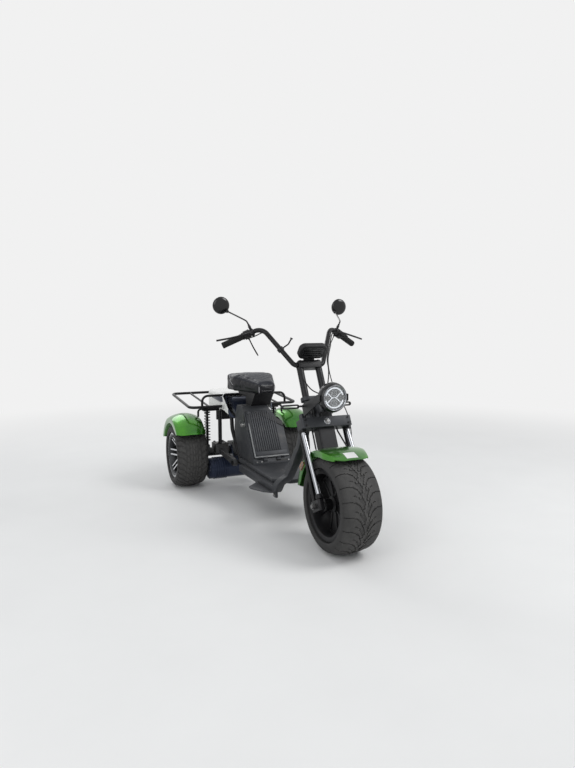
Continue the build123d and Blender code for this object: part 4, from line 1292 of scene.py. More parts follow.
@dataclass
class Stage:
    """Floor, lamps and camera."""

    camera_at: Point = (-1.3524, -3.2580, 1.0799)
    yaw: float = 0.4156
    pitch: float = -0.0952
    roll: float = -0.003
    lens: float = 27.586
    near: float = 1.6
    far: float = 5.5
    backdrop: Point = (0.88, 0.88, 0.88)

    def build(self) -> None:
        """Set the stage."""
        self.floor()
        self.world()
        self.lamp("key_lamp", (2.8, -2.6, 4.2), 112, 2.2)
        self.lamp("fill_lamp", (-3.4, -2.4, 2.6), 48, 3.0)
        self.lamp("back_lamp", (-0.6, 3.6, 3.4), 50, 2.4)
        self.camera()
        bpy.context.scene.view_settings.view_transform = "Standard"

    def floor(self) -> None:
        """Pale floor with a faint grain."""
        deselect()
        bpy.ops.mesh.primitive_plane_add(size=60, location=(0, 0, 0))
        floor = bpy.context.active_object
        floor.name = "stage_floor"
        n = Nodes("pale_floor")
        n.colour(n.ramp(n.noise(1.6, 5), ((0.3, (0.80, 0.80, 0.79)), (0.7, (0.83, 0.83, 0.82)))))
        n.rough(n.spread(n.noise(20.0, 3), 0.75, 0.9))
        length = n.add("VectorMath", operation="LENGTH")
        n.link(n.place, length.inputs[0])
        far = n.add("MapRange", interpolation_type="SMOOTHSTEP")
        far.inputs["From Min"].default_value = self.near
        far.inputs["From Max"].default_value = self.far
        n.link(length.outputs["Value"], far.inputs["Value"])
        path = n.add("LightPath")
        seen = n.math("MAXIMUM", path.outputs["Is Camera Ray"], path.outputs["Is Glossy Ray"])
        pale = n.add("Emission")
        pale.inputs["Color"].default_value = (*self.backdrop, 1)
        mixer = n.add("MixShader")
        n.link(n.math("MULTIPLY", far.outputs["Result"], seen), mixer.inputs["Fac"])
        n.link(n.shader.outputs[0], mixer.inputs[1])
        n.link(pale.outputs[0], mixer.inputs[2])
        n.link(mixer.outputs[0], n.material.node_tree.nodes["Material Output"].inputs["Surface"])
        floor.data.materials.append(n.material)

    def world(self) -> None:
        """Pale surroundings: plain light on the object, a near white sky behind it."""
        world = bpy.data.worlds.new("studio")
        bpy.context.scene.world = world
        world.use_nodes = True
        tree = world.node_tree
        back = tree.nodes["Background"]
        back.inputs["Color"].default_value = (0.78, 0.80, 0.83, 1)
        back.inputs["Strength"].default_value = 0.62
        seen = tree.nodes.new("ShaderNodeBackground")
        seen.inputs["Color"].default_value = (*self.backdrop, 1)
        path = tree.nodes.new("ShaderNodeLightPath")
        mixer = tree.nodes.new("ShaderNodeMixShader")
        either = tree.nodes.new("ShaderNodeMath")
        either.operation = "MAXIMUM"
        any_ray = tree.nodes.new("ShaderNodeMath")
        any_ray.operation = "MAXIMUM"
        tree.links.new(path.outputs["Is Camera Ray"], either.inputs[0])
        tree.links.new(path.outputs["Is Glossy Ray"], either.inputs[1])
        tree.links.new(either.outputs[0], any_ray.inputs[0])
        tree.links.new(path.outputs["Is Transmission Ray"], any_ray.inputs[1])
        tree.links.new(any_ray.outputs[0], mixer.inputs["Fac"])
        tree.links.new(back.outputs[0], mixer.inputs[1])
        tree.links.new(seen.outputs[0], mixer.inputs[2])
        tree.links.new(mixer.outputs[0], tree.nodes["World Output"].inputs["Surface"])

    def lamp(self, name: str, spot: Point, power: float, size: float) -> None:
        """Soft square lamp aimed at the middle of the object."""
        light = bpy.data.lights.new(name, "AREA")
        light.energy = power
        light.size = size
        lamp = bpy.data.objects.new(name, light)
        lamp.location = spot
        lamp.rotation_mode = "QUATERNION"
        lamp.rotation_quaternion = (Vector((0, 0, 0.4)) - Vector(spot)).to_track_quat("-Z", "Y")
        bpy.context.scene.collection.objects.link(lamp)

    def camera(self) -> None:
        """Camera at the photograph's viewing angle."""
        data = bpy.data.cameras.new("camera")
        data.lens = self.lens
        data.sensor_width = 36
        data.clip_end = 200
        camera = bpy.data.objects.new("camera", data)
        camera.location = self.camera_at
        camera.rotation_mode = "QUATERNION"
        ahead = Vector(
            (
                math.sin(self.yaw) * math.cos(self.pitch),
                math.cos(self.yaw) * math.cos(self.pitch),
                math.sin(self.pitch),
            )
        )
        turn = ahead.to_track_quat("-Z", "Y")
        camera.rotation_quaternion = turn @ Matrix.Rotation(self.roll, 3, "Z").to_quaternion()
        bpy.context.scene.collection.objects.link(camera)
        bpy.context.scene.camera = camera


NODE_FINISHES = {
    "lower_bridge": Finish.ANTHRACITE, "upper_yoke": Finish.ANTHRACITE, "fork_tubes": Finish.CHROME,
    "fork_sliders": Finish.BLACK, "front_axle": Finish.ZINC, "front_caliper": Finish.ANTHRACITE,
    "front_fender": Finish.GREEN, "fender_stays": Finish.BLACK, "headlight_shell": Finish.GLOSS_BLACK,
    "headlight_lens": Finish.LENS, "headlight_bracket": Finish.BLACK, "front_signals": Finish.MATT_BLACK,
    "risers": Finish.BLACK, "bar_clamp": Finish.BLACK, "handlebar": Finish.BLACK, "grips": Finish.RUBBER,
    "switch_blocks": Finish.MATT_BLACK, "brake_levers": Finish.BLACK, "mirror_housings": Finish.GLOSS_BLACK,
    "mirror_glass": Finish.SILVER_GLASS, "display": Finish.MATT_BLACK, "front_disc": Finish.STEEL,
    "head_tube": Finish.ANTHRACITE, "frame_beams": Finish.ANTHRACITE, "deck_plate": Finish.ANTHRACITE,
    "foot_rests": Finish.ANTHRACITE, "battery_box": Finish.ANTHRACITE, "battery_pack": Finish.MATT_BLACK,
    "seat_support": Finish.MATT_BLACK, "rack": Finish.BLACK, "rear_frame": Finish.BLACK,
    # cowl_core gets the blue-black finish as painted shade; drive_motor gets it as black with a painted sky
    # reflection.
    "tail_cowl": Finish.WHITE, "cowl_core": Finish.BLUE_SHADE_AND_SKY_REFLECTION, "axle_housing": Finish.CAST,
    "drive_motor": Finish.BLUE_SHADE_AND_SKY_REFLECTION,
    "shock_bodies": Finish.BLACK, "shock_springs": Finish.BLACK, "fender_brackets": Finish.BLACK,
    "battery_lid": Finish.ANTHRACITE, "seat_cushion": Finish.LEATHER, "rear_fenders": Finish.GREEN,
    "front_rim": Finish.RIM_BLACK, "rear_rim_right": Finish.RIM_GREY, "rear_rim_left": Finish.RIM_GREY,
    "front_tyre": Finish.RUBBER, "rear_tyre_right": Finish.RUBBER, "rear_tyre_left": Finish.RUBBER,
    "horn": Finish.MATT_BLACK, "side_reflectors": Finish.AMBER, "control_leads": Finish.RUBBER,
    "lead_loop": Finish.RUBBER, "brake_hose": Finish.RUBBER, "bar_hook": Finish.BLACK,
    "tail_lamp": Finish.RED, "plate_carrier": Finish.BLACK,
}


@dataclass
class FrontEnd:
    """Fork: bridge with a bare round badge, dust seals, bolts and the fender's blank label."""

    fork_x: float = 0.124
    tube_r: float = 0.0125
    bridge_up: float = 0.402
    bridge_front: float = -0.038
    badge_r: float = 0.017

    def build(self) -> None:
        """Model the fork's trim."""
        bridge = rounded_copy("lower_bridge", "fork_bridge", 0.004, 3)
        settle(bridge, Body.STEERING, Finish.ANTHRACITE, ["lower_bridge"])
        yoke = rounded_copy("upper_yoke", "fork_yoke", 0.003, 3)
        settle(yoke, Body.STEERING, Finish.ANTHRACITE, ["upper_yoke"])
        self.badge()
        self.collars()
        self.bolts()
        self.label()

    def badge(self) -> None:
        """Bare round badge let into the front of the bridge."""
        steer = PLACES.steer.to_3x3()
        ahead = tuple(steer @ Vector((0, -1, 0)))
        spot = PLACES.fork(0, self.bridge_front, self.bridge_up)
        r = self.badge_r
        ring = lathe(
            "badge_ring",
            (
                (0, r - 0.004), (0, r), (0.0022, r), (0.003, r - 0.001), (0.003, r - 0.003),
                (0.0022, r - 0.004),
            ),
            spot, ahead, 48,
        )
        settle(ring, Body.STEERING, Finish.CHROME)
        dome = lathe(
            "badge_disc", ((0, 0), (0, r - 0.0042), (0.0016, r - 0.0042), (0.0024, r * 0.45), (0.0027, 0)),
            spot, ahead, 48
        )
        settle(dome, Body.STEERING, Finish.ZINC)

    def collars(self) -> None:
        """Sleeves under the bridge and seals at the tubes' feet."""
        parts = []
        for side in (-1, 1):
            top = Vector(PLACES.fork(side * self.fork_x, 0.004, self.bridge_up - 0.0275))
            foot = Vector(PLACES.fork(side * self.fork_x, -0.037, 0.0275))
            way = (foot - top).normalized()
            section = (
                (0, self.tube_r), (0, 0.018), (0.008, 0.018), (0.011, 0.0155), (0.013, 0.0155),
                (0.013, self.tube_r),
            )
            parts.append(lathe(f"collar_{side}", section, tuple(top), tuple(way), 36))
            seal = (
                (0, self.tube_r), (0, 0.0165), (0.006, 0.018), (0.014, 0.018), (0.022, 0.015),
                (0.022, self.tube_r),
            )
            parts.append(lathe(f"seal_{side}", seal, tuple(foot), tuple(-way), 36))
        settle(join("fork_collars", parts), Body.STEERING, Finish.BLACK)

    def bolts(self) -> None:
        """Clamp screws of the bridge, the yoke and the axle feet."""
        steer = PLACES.steer.to_3x3()
        ahead = tuple(steer @ Vector((0, -1, 0)))
        up = tuple(steer @ Vector((0, 0, 1)))
        spots = []
        for side in (-1, 1):
            for lift in (-0.014, 0.014):
                spots.append((PLACES.fork(side * 0.118, self.bridge_front, self.bridge_up + lift), ahead))
            spots.append((PLACES.fork(side * 0.054, 0.012, 0.5555), up))
            spots.append((PLACES.fork(side * 0.124, -0.020, 0.0262), up))
        settle(socket_heads("fork_screws", spots, 0.0052, 0.0045), Body.STEERING, Finish.BLACK)
        seats = []
        for side in (-1, 1):
            seats.append((PLACES.fork(side * 0.1505, 0, 0), (side, 0, 0)))
        settle(hex_heads("axle_nuts", seats, 0.0115, 0.009), Body.STEERING, Finish.ZINC)

    def label(self) -> None:
        """Blank label stuck on the nose of the front fender."""
        hub = PLACES.front_hub
        turn = math.radians(105.0)
        zero = (0, math.cos(turn), math.sin(turn))
        section = []
        for step in range(9):
            a = -0.031 + 0.060 * step / 8
            section.append((a, 0.2697 - 0.65 * a * a))
        section = section + [(a, r - 0.0006) for a, r in section[::-1]]
        label = lathe("blank_label", section, tuple(hub), (1, 0, 0), 10, 10.0, zero)
        settle(label, Body.STEERING, Finish.LABEL)


@dataclass
class Headlight:
    """Round headlamp: domed shell, bright bezel, split light ring and two projectors."""

    depth: float = 0.084
    guide_r: float = 0.0485

    def build(self) -> None:
        """Model the lamp."""
        low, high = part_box("headlight_shell")
        self.spot = ((low.x + high.x) / 2, low.y, (low.z + high.z) / 2)
        self.shell()
        self.guide()
        self.insides()

    def shell(self) -> None:
        """Shell, bezel and clear lens."""
        outer = [
            (0.004, 0.0625), (0.006, 0.0655), (0.012, 0.0700), (0.022, 0.0738), (0.034, 0.0750),
            (0.046, 0.0730),
            (0.057, 0.0665), (0.068, 0.0545), (0.077, 0.0390), (0.082, 0.0230), (0.084, 0.0080), (0.084, 0),
        ]
        inner = [(0.030, 0), (0.030, 0.046), (0.020, 0.0540), (0.006, 0.0580), (0.004, 0.0585)]
        body = lathe("lamp_shell", outer + inner, self.spot, (0, 1, 0), 72)
        settle(
            body, Body.STEERING, Finish.GLOSS_BLACK, ["headlight_shell"], math.radians(50),
        )
        ring = [
            (0.0045, 0.0625), (0.0015, 0.0622), (0.0, 0.0612), (0.0, 0.0596), (0.002, 0.0578),
            (0.006, 0.0566),
            (0.010, 0.0563), (0.010, 0.0573), (0.0045, 0.0600),
        ]
        settle(lathe("lamp_bezel", ring, self.spot, (0, 1, 0), 72), Body.STEERING, Finish.CHROME)
        glass = [
            (0.0035, 0.0), (0.0036, 0.022), (0.0045, 0.040), (0.0062, 0.0562), (0.0082, 0.0562),
            (0.0062, 0.040),
            (0.0056, 0.022), (0.0055, 0.0),
        ]
        settle(
            lathe("lamp_glass", glass, self.spot, (0, 1, 0), 64), Body.STEERING, Finish.LENS,
            ["headlight_lens"]
        )

    def guide(self) -> None:
        """Light ring, split at the sides, and the crossed divider inside it."""
        parts = []
        r = self.guide_r
        section = ((0.011, r - 0.0040), (0.011, r + 0.0040), (0.016, r + 0.0040), (0.016, r - 0.0040))
        for name, start, turn in (("upper", 16, 150), ("lower", 194, 152)):
            angle = math.radians(start)
            zero = (math.cos(angle), 0, math.sin(angle))
            parts.append(lathe(f"guide_{name}", section, self.spot, (0, 1, 0), 40, -turn, zero))
        settle(join("lamp_light_ring", parts), Body.STEERING, Finish.LED)
        plane = Matrix.Translation(
            Vector(self.spot) + Vector((0, 0.017, 0))
        ) @ facing((0, 0, 0), (0, -1, 0), (1, 0, 0))
        arms = [
            prism(
                "arm_mid", ((-0.012, -0.0017), (0.012, -0.0017), (0.012, 0.0017), (-0.012, 0.0017)), plane,
                0.005, 0.0008,
            )
        ]
        for index, (sx, sy) in enumerate(((1, 1), (-1, 1), (-1, -1), (1, -1))):
            start, end = Vector((sx * 0.010, 0)), Vector((sx * 0.0365, sy * 0.0240))
            way = (end - start).normalized()
            across = Vector((-way.y, way.x)) * 0.0017
            outline = [tuple(start - across), tuple(end - across), tuple(end + across), tuple(start + across)]
            arms.append(prism(f"arm_{index}", outline, plane, 0.005, 0.0008))
        settle(join("lamp_divider", arms), Body.STEERING, Finish.LED)

    def insides(self) -> None:
        """Reflector bowl and two projectors."""
        bowl = [
            (0.013, 0.0440), (0.020, 0.042), (0.026, 0.033), (0.028, 0.0), (0.0298, 0.0), (0.0298, 0.044),
            (0.020, 0.0525), (0.0105, 0.0560), (0.0105, 0.0540), (0.0125, 0.0440),
        ]
        settle(
            lathe("lamp_bowl", bowl, self.spot, (0, 1, 0), 64), Body.STEERING, Finish.MATT_BLACK,
        )
        parts = []
        for lift in (-0.024, 0.024):
            spot = (self.spot[0], self.spot[1], self.spot[2] + lift)
            barrel = [
                (0.014, 0.0165), (0.012, 0.0160), (0.012, 0.0135), (0.016, 0.0125), (0.0285, 0.0125),
                (0.0285, 0.0165),
            ]
            parts.append(lathe(f"projector_{lift}", barrel, spot, (0, 1, 0), 40))
            eye = [
                (0.0105, 0.0), (0.0115, 0.006), (0.0145, 0.0110), (0.018, 0.0122), (0.022, 0.0122),
                (0.022, 0.0),
            ]
            lens = lathe(f"eye_{lift}", eye, spot, (0, 1, 0), 36)
            settle(lens, Body.STEERING, Finish.SCREEN)
            lens.name = f"projector_eye_{'low' if lift < 0 else 'high'}"
        settle(join("lamp_projectors", parts), Body.STEERING, Finish.STEEL)


@dataclass
class Cockpit:
    """Handlebar fittings: grips, switches, mirrors, display and the bar clamp."""

    def build(self) -> None:
        """Model the fittings."""
        self.grips()
        self.switches()
        self.mirrors()
        self.display()
        clamp = rounded_copy("bar_clamp", "handlebar_clamp", 0.004, 3)
        settle(clamp, Body.STEERING, Finish.BLACK, ["bar_clamp"])
        steer = PLACES.steer.to_3x3()
        up = tuple(steer @ Vector((0, 0, 1)))
        spots = [(PLACES.fork(x, back, 0.7555), up) for x in (-0.052, 0.052) for back in (0.021, 0.051)]
        settle(socket_heads("clamp_screws", spots, 0.0048, 0.004), Body.STEERING, Finish.ZINC)

    def grips(self) -> None:
        """Ribbed rubber grips with a flange."""
        section = [(0.001, 0.0132), (0.0, 0.0150), (0.0015, 0.0168), (0.006, 0.0172)]
        along = 0.012
        while along < 0.112:
            section += [
                (along, 0.0172), (along + 0.0012, 0.0160), (along + 0.0028, 0.0160), (along + 0.004, 0.0172),
            ]
            along += 0.0075
        section += [(0.116, 0.0172), (0.119, 0.0195), (0.1245, 0.0195), (0.126, 0.0180), (0.126, 0.0132)]
        left = lathe("grip_left", section, tuple(PLACES.bar_end), tuple(-PLACES.bar_way), 44)
        right = twin(left, "grip_right")
        settle(left, Body.STEERING, Finish.RUBBER, ["grips"])
        settle(right, Body.STEERING, Finish.RUBBER, ["grips"])

    def switches(self) -> None:
        """Rounded switch housings with their buttons."""
        blocks = rounded_copy("switch_blocks", "switch_housings", 0.003, 3)
        settle(blocks, Body.STEERING, Finish.MATT_BLACK, ["switch_blocks"])
        rear = -0.022
        for name, finish, slot, lift, along, size in (
            ("horn_button", Finish.RED, "red_plastic", -0.008, 0.137, 0.0055),
            ("lamp_button", Finish.LABEL, "white_plastic", 0.004, 0.137, 0.005),
            ("turn_switch", Finish.GLOSS_BLACK, "black_plastic", -0.002, 0.152, 0.0065),
        ):
            spot = Vector(PLACES.grip(rear, lift, along))
            away = (spot - Vector(PLACES.grip(0, 0, along))).normalized()
            section = ((0, 0), (0, size), (0.003, size), (0.004, size * 0.8), (0.0044, 0))
            left = lathe(f"{name}_left", section, tuple(spot), tuple(away), 28)
            right = twin(left, f"{name}_right")
            settle(left, Body.STEERING, finish)
            settle(right, Body.STEERING, finish)

    def mirrors(self) -> None:
        """Domed mirror backs on thin stems."""
        low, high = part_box("mirror_glass")
        normal = Vector((0, 1, 0.1)).normalized()
        centre = Vector((high.x - 0.0447, (low.y + high.y) / 2, (low.z + high.z) / 2)) + normal * 0.0027
        section = [
            (0.0, 0.0445), (-0.0003, 0.0470), (0.003, 0.0480), (0.008, 0.0472), (0.013, 0.0430),
            (0.017, 0.0340),
            (0.0192, 0.022), (0.020, 0.010), (0.0202, 0.0), (0.0045, 0.0), (0.0045, 0.0445),
        ]
        left = lathe("mirror_back_left", section, tuple(centre), tuple(-normal), 56)
        foot = PLACES.grip(0, 0.027, 0.174)
        knee = Vector(PLACES.grip(0, 0.067, 0.174))
        back = centre - normal * 0.014 + Vector((-0.030, 0, -0.030))
        stem = pipe(
            "stem",
            [
                foot, tuple(knee - (knee - Vector(foot)) * 0.35), tuple(knee),
                tuple(knee + (back - knee) * 0.12), tuple(back),
            ],
            0.0042, True, 5,
        )
        boss = lathe(
            "boss", ((0, 0), (0, 0.010), (0.010, 0.010), (0.016, 0.0065), (0.016, 0)),
            tuple(back - normal * -0.003),
            tuple(-normal), 28,
        )
        nut_way = (knee - Vector(foot)).normalized()
        nut = lathe(
            "nut",
            ((0, 0.0035), (0, 0.0085), (0.008, 0.0085), (0.012, 0.006), (0.020, 0.006), (0.020, 0.0035)),
            foot,
            tuple(nut_way), 6,
        )
        left = join("mirror_back_left", [left, stem, boss, nut])
        right = twin(left, "mirror_back_right")
        settle(left, Body.STEERING, Finish.GLOSS_BLACK, ["mirror_housings"])
        settle(right, Body.STEERING, Finish.GLOSS_BLACK, ["mirror_housings"])

    def display(self) -> None:
        """Display pod: screen and keys towards the rider, ribbed cover towards the front."""
        pod = rounded_copy("display", "display_pod", 0.007, 4)
        settle(pod, Body.STEERING, Finish.MATT_BLACK, ["display"])
        normal = Vector((0, 0.77, 0.64)).normalized()
        axle = PLACES.front_hub
        centre = Vector((0, axle.y + 0.31656, axle.z + 0.7218))
        plane = facing(tuple(centre + normal * 0.0141), tuple(normal), (-1, 0, 0))
        screen = prism("display_glass", rounded(0.112, 0.058, 0.008), plane, 0.0012, 0.0004)
        settle(screen, Body.STEERING, Finish.SCREEN)
        keys = []
        for index in range(3):
            spot = plane @ Vector((0.0635, 0.018 * (index - 1), 0))
            keys.append(
                lathe(
                    f"key_{index}", ((0, 0), (0, 0.005), (0.0022, 0.005), (0.003, 0.004), (0.003, 0)),
                    tuple(spot), tuple(normal), 24,
                )
            )
        settle(join("display_keys", keys), Body.STEERING, Finish.LABEL)
        lit = []
        for index, (x, y, w, h) in enumerate(
            (
                (0, 0.004, 0.030, 0.018), (-0.036, -0.016, 0.022, 0.004), (0.036, -0.016, 0.022, 0.004),
                (0, -0.020, 0.036, 0.003),
            )
        ):
            base = plane @ Matrix.Translation((x, y, 0.0012))
            lit.append(prism(f"lit_{index}", rounded(w, h, min(w, h) * 0.3, 3), base, 0.0003))
        settle(join("display_fields", lit), Body.STEERING, Finish.DIGITS)
        cover = facing(tuple(centre - normal * 0.0139), tuple(-normal), (1, 0, 0))
        ribs = [prism("cover_plate", rounded(0.118, 0.060, 0.010), cover, 0.0035, 0.0012)]
        for index in range(4):
            base = cover @ Matrix.Translation((0, -0.021 + 0.014 * index, 0.0035))
            ribs.append(prism(f"cover_rib_{index}", rounded(0.098, 0.005, 0.002, 3), base, 0.003, 0.0008))
        settle(join("display_cover", ribs), Body.STEERING, Finish.GLOSS_BLACK)


@dataclass
class BatteryHousing:
    """Battery box and ribbed lid with a pale border, dark corner band, lock and key."""

    foot: tuple[float, float] = (0.856, 0.2503)
    top: tuple[float, float] = (1.045, 0.565)
    lid_half: float = 0.114
    lid_out: float = 0.0083

    def build(self) -> None:
        """Model the box."""
        axle = PLACES.front_hub.y
        way = Vector((0, self.top[0] - self.foot[0], self.top[1] - self.foot[1]))
        self.length = way.length
        normal = Vector((0, -way.z, way.y)).normalized()
        self.plane = facing((0, axle + self.foot[0], self.foot[1]), tuple(normal), (1, 0, 0))
        box = rounded_copy("battery_box", "battery_case", 0.003, 3)
        settle(box, Body.CHASSIS, Finish.ANTHRACITE, ["battery_box"])
        lid = rounded_copy("battery_lid", "ribbed_lid", 0.0012, 2)
        settle(lid, Body.LID, Finish.ANTHRACITE, ["battery_lid"])
        self.trim()
        self.lock()

    def face(self, out: float) -> Matrix:
        """Plane of the box's slanted face, moved outwards."""
        return self.plane @ Matrix.Translation((0, 0, out))

    def trim(self) -> None:
        """Pale border of the lid, corner band and a flat black strip below it."""
        top = self.length - 0.010
        edge = self.lid_half
        out = self.face(self.lid_out)
        left = prism(
            "border_left",
            (
                (-edge + 0.001, 0.042), (-edge + 0.009, 0.050), (-edge + 0.009, top - 0.09),
                (-edge + 0.001, top - 0.085),
            ),
            out, 0.0025, 0.0006,
        )
        low = prism(
            "border_low",
            ((-edge + 0.001, 0.041), (edge - 0.001, 0.041), (edge - 0.001, 0.050), (-edge + 0.009, 0.050)),
            out, 0.0025, 0.0006,
        )
        settle(join("lid_border", [left, low]), Body.LID, Finish.BORDER)
        inset = prism(
            "lid_plate",
            ((-edge + 0.014, 0.056), (edge - 0.008, 0.056), (edge - 0.008, 0.080), (-edge + 0.014, 0.080)),
            out, 0.0018, 0.0006,
        )
        settle(inset, Body.LID, Finish.ANTHRACITE)
        band = prism(
            "corner_band",
            ((-0.022, 0.3215), (-0.008, 0.351), (edge + 0.004, 0.2737), (edge + 0.004, 0.235)), out, 0.0035,
            0.001,
        )
        settle(band, Body.LID, Finish.MATT_BLACK)
        # A thin flat black sheet on the case's face below the lid; no hole is cut.
        slot = prism(
            "flat_black_strip", [(x + 0.062, y + 0.019) for x, y in rounded(0.078, 0.013, 0.006)], self.face(0.0),
            0.0006,
        )
        settle(slot, Body.CHASSIS, Finish.MATT_BLACK)
        spots = []
        normal = tuple(self.plane.to_3x3() @ Vector((0, 0, 1)))
        for x in (-0.100, -0.070, 0.108):
            spots.append((tuple(self.face(0.0) @ Vector((x, 0.016, 0))), normal))
        settle(socket_heads("case_screws", spots, 0.0045, 0.0035), Body.CHASSIS, Finish.ZINC)

    def lock(self) -> None:
        """Lock barrel on the case's side with its key and ring, and a riveted plate over it."""
        spot = self.face(-0.020) @ Vector((-0.124, 0.272, 0))
        barrel = lathe(
            "lock_barrel", ((0, 0), (0, 0.011), (0.004, 0.011), (0.006, 0.009), (0.006, 0)), tuple(spot),
            (-1, 0, 0), 36
        )
        key_plane = facing(tuple(spot + Vector((-0.006, 0, 0))), (0, -1, 0.3), (-1, 0, 0))
        key = prism(
            "key_head", [(x + 0.014, y) for x, y in rounded(0.022, 0.020, 0.008)], key_plane, 0.0022, 0.0006,
        )
        ring_at = key_plane @ Vector((0.020, -0.020, 0.001))
        ring = lathe(
            "key_ring",
            [
                (0.0008 * math.sin(math.tau * i / 8), 0.012 + 0.0008 * math.cos(math.tau * i / 8))
                for i in range(8)
            ],
            tuple(ring_at), (0.2, -1, 0), 40,
        )
        settle(join("side_lock", [barrel, key, ring]), Body.CHASSIS, Finish.ZINC)
        side = facing((-0.124, spot.y, spot.z), (-1, 0, 0), tuple(self.plane.to_3x3() @ Vector((0, 1, 0))))
        plate = prism(
            "lock_plate", [(x + 0.045, y) for x, y in rounded(0.044, 0.026, 0.004)], side, 0.002, 0.0006
        )
        settle(plate, Body.CHASSIS, Finish.BLACK)
        rivets = [
            (tuple(side @ Vector((0.045 + x, y, 0.002))), (-1, 0, 0))
            for x in (-0.016, 0.016)
            for y in (-0.008, 0.008)
        ]
        settle(socket_heads("plate_rivets", rivets, 0.0028, 0.0018), Body.CHASSIS, Finish.ZINC)


@dataclass
class Saddle:
    """Padded seat: crowned cushion with sewn channels, pale piping and a stitched nose."""

    voxel: float = 0.0045
    swell: float = 0.007

    def build(self) -> None:
        """Model the seat."""
        low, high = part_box("seat_cushion")
        self.low, self.high = low, high
        pad = self.inflate()
        self.crown(pad)
        apply_modifier(pad, "SMOOTH", factor=0.5, iterations=6)
        apply_modifier(pad, "SUBSURF", levels=1, render_levels=1)
        self.channels(pad)
        settle(pad, Body.CHASSIS, Finish.LEATHER, ["seat_cushion"], math.radians(60))

        def side(face: bpy.types.MeshPolygon) -> bool:
            """Plain side panels and nose, below the quilted cover, in a darker, greyer copy of the leather as
            painted shade.
            """
            spot = face.center
            return self.edge(spot.y) > spot.z or spot.y < low.y + 0.012

        # The side panels are real, but their darker, greyer tone is painted shade.
        paint_faces(pad, Finish.LEATHER_SHADED_SIDE, side)
        self.piping(pad)

    def edge(self, y: float) -> float:
        """Height of the seam between the cover and the side panels at a place along the seat."""
        along = (y - self.low.y) / 0.24
        return self.low.z + 0.052 + 0.030 * min(1.0, max(0.0, along))

    def rear_seam(self, z: float) -> float:
        """Place of the slanting rear seam at a height."""
        return self.low.y + 0.262 + 1.67 * (z - self.low.z - 0.04)

    def inflate(self) -> bpy.types.Object:
        """Copy of the cushion's solid, remeshed and blown up under its cover."""
        pad = rounded_copy("seat_cushion", "seat_pad", 0.012, 3)
        centre = (self.low + self.high) / 2
        for vertex in pad.data.vertices:
            vertex.co = centre + (vertex.co - centre) * 0.975
        apply_modifier(pad, "REMESH", mode="VOXEL", voxel_size=self.voxel, use_smooth_shade=True)
        apply_modifier(pad, "SMOOTH", factor=0.5, iterations=10)
        rest = [vertex.co.copy() for vertex in pad.data.vertices]
        activate(pad)
        cloth = pad.modifiers.new("Cover", "CLOTH")
        cloth.settings.use_pressure = True
        cloth.settings.uniform_pressure_force = 4.0
        cloth.settings.quality = 5
        cloth.settings.effector_weights.gravity = 0.0
        scene = bpy.context.scene
        cloth.point_cache.frame_start = 1
        cloth.point_cache.frame_end = 20
        for number in range(1, 21):
            scene.frame_set(number)
        bpy.ops.object.modifier_apply(modifier=cloth.name)
        scene.frame_set(1)
        for vertex, start in zip(pad.data.vertices, rest):
            move = vertex.co - start
            if move.length > self.swell:
                vertex.co = start + move * (self.swell / move.length)
        return pad

    def crown(self, pad: bpy.types.Object) -> None:
        """Crown the top, draw the sides in between the corners and flatten the underside."""
        low, high = self.low, self.high
        half = (high.x - low.x) / 2
        for vertex in pad.data.vertices:
            spot = vertex.co
            share = min(1.0, max(0.0, (spot.z - low.z) / (high.z - low.z)))
            along = (spot.y - low.y) / (high.y - low.y)
            spot.z += 0.010 * share * (1 - min(1.0, (spot.x / half) ** 2)) * math.sin(
                math.pi * min(1.0, max(0.0, along))
            )
            waist = math.sin(math.pi * share) * 0.035
            spot.x *= 1 - waist
            if spot.z < low.z + 0.004:
                spot.z = low.z + 0.0005

    def channels(self, pad: bpy.types.Object) -> None:
        """Sink the seams: cover over skirt, rear panel, nose, and wavy channels on the top."""
        mesh = pad.data
        moves = []
        for vertex in mesh.vertices:
            spot = vertex.co
            side = max(0.0, 1 - abs(vertex.normal.z) * 1.2)
            sink = 0.0016 * side * math.exp(-(((spot.z - self.edge(spot.y)) / 0.003) ** 2))
            sink += 0.0030 * math.exp(-(((spot.y - self.rear_seam(spot.z)) / 0.004) ** 2))
            if vertex.normal.z > 0.4:
                for line in self.quilts(spot.x):
                    sink += 0.0017 * math.exp(-(((spot.y - line) / 0.0032) ** 2))
            moves.append(vertex.normal * -sink)
        for vertex, move in zip(mesh.vertices, moves):
            vertex.co += move

    def quilts(self, x: float) -> list[float]:
        """Places of the sewn lines across the top at a sideways place."""
        return [self.low.y + 0.070 + 0.036 * index + 0.9 * abs(x) - 2.2 * x * x for index in range(4)]

    def wrap(
        self, pad: bpy.types.Object, where: Callable[[float, float], float], start: float, end: float,
        steps: int,
    ) -> list[Point]:
        """Points over the pad in a bent cross-section.

        Args:
            pad: The finished pad.
            where: Gives y for a sideways place and a height.
            start: First angle from the right side over the top, in degrees.
            end: Last angle.
            steps: Number of points.

        Returns:
            Points just outside the surface.
        """
        tree = BVHTree.FromObject(pad, bpy.context.evaluated_depsgraph_get())
        points = []
        middle = self.low.z + 0.030
        for step in range(steps + 1):
            angle = math.radians(start + (end - start) * step / steps)
            way = Vector((-math.cos(angle), 0, math.sin(angle)))
            spot = Vector((0, 0, middle)) + way * 0.10
            for _ in range(4):
                spot.y = where(spot.x, spot.z)
                origin = Vector((0, spot.y, middle)) + way * 0.4
                hit, _, _, _ = tree.ray_cast(origin, -way)
                if hit is None:
                    break
                spot = hit
            points.append(tuple(spot + way * 0.0006))
        return points

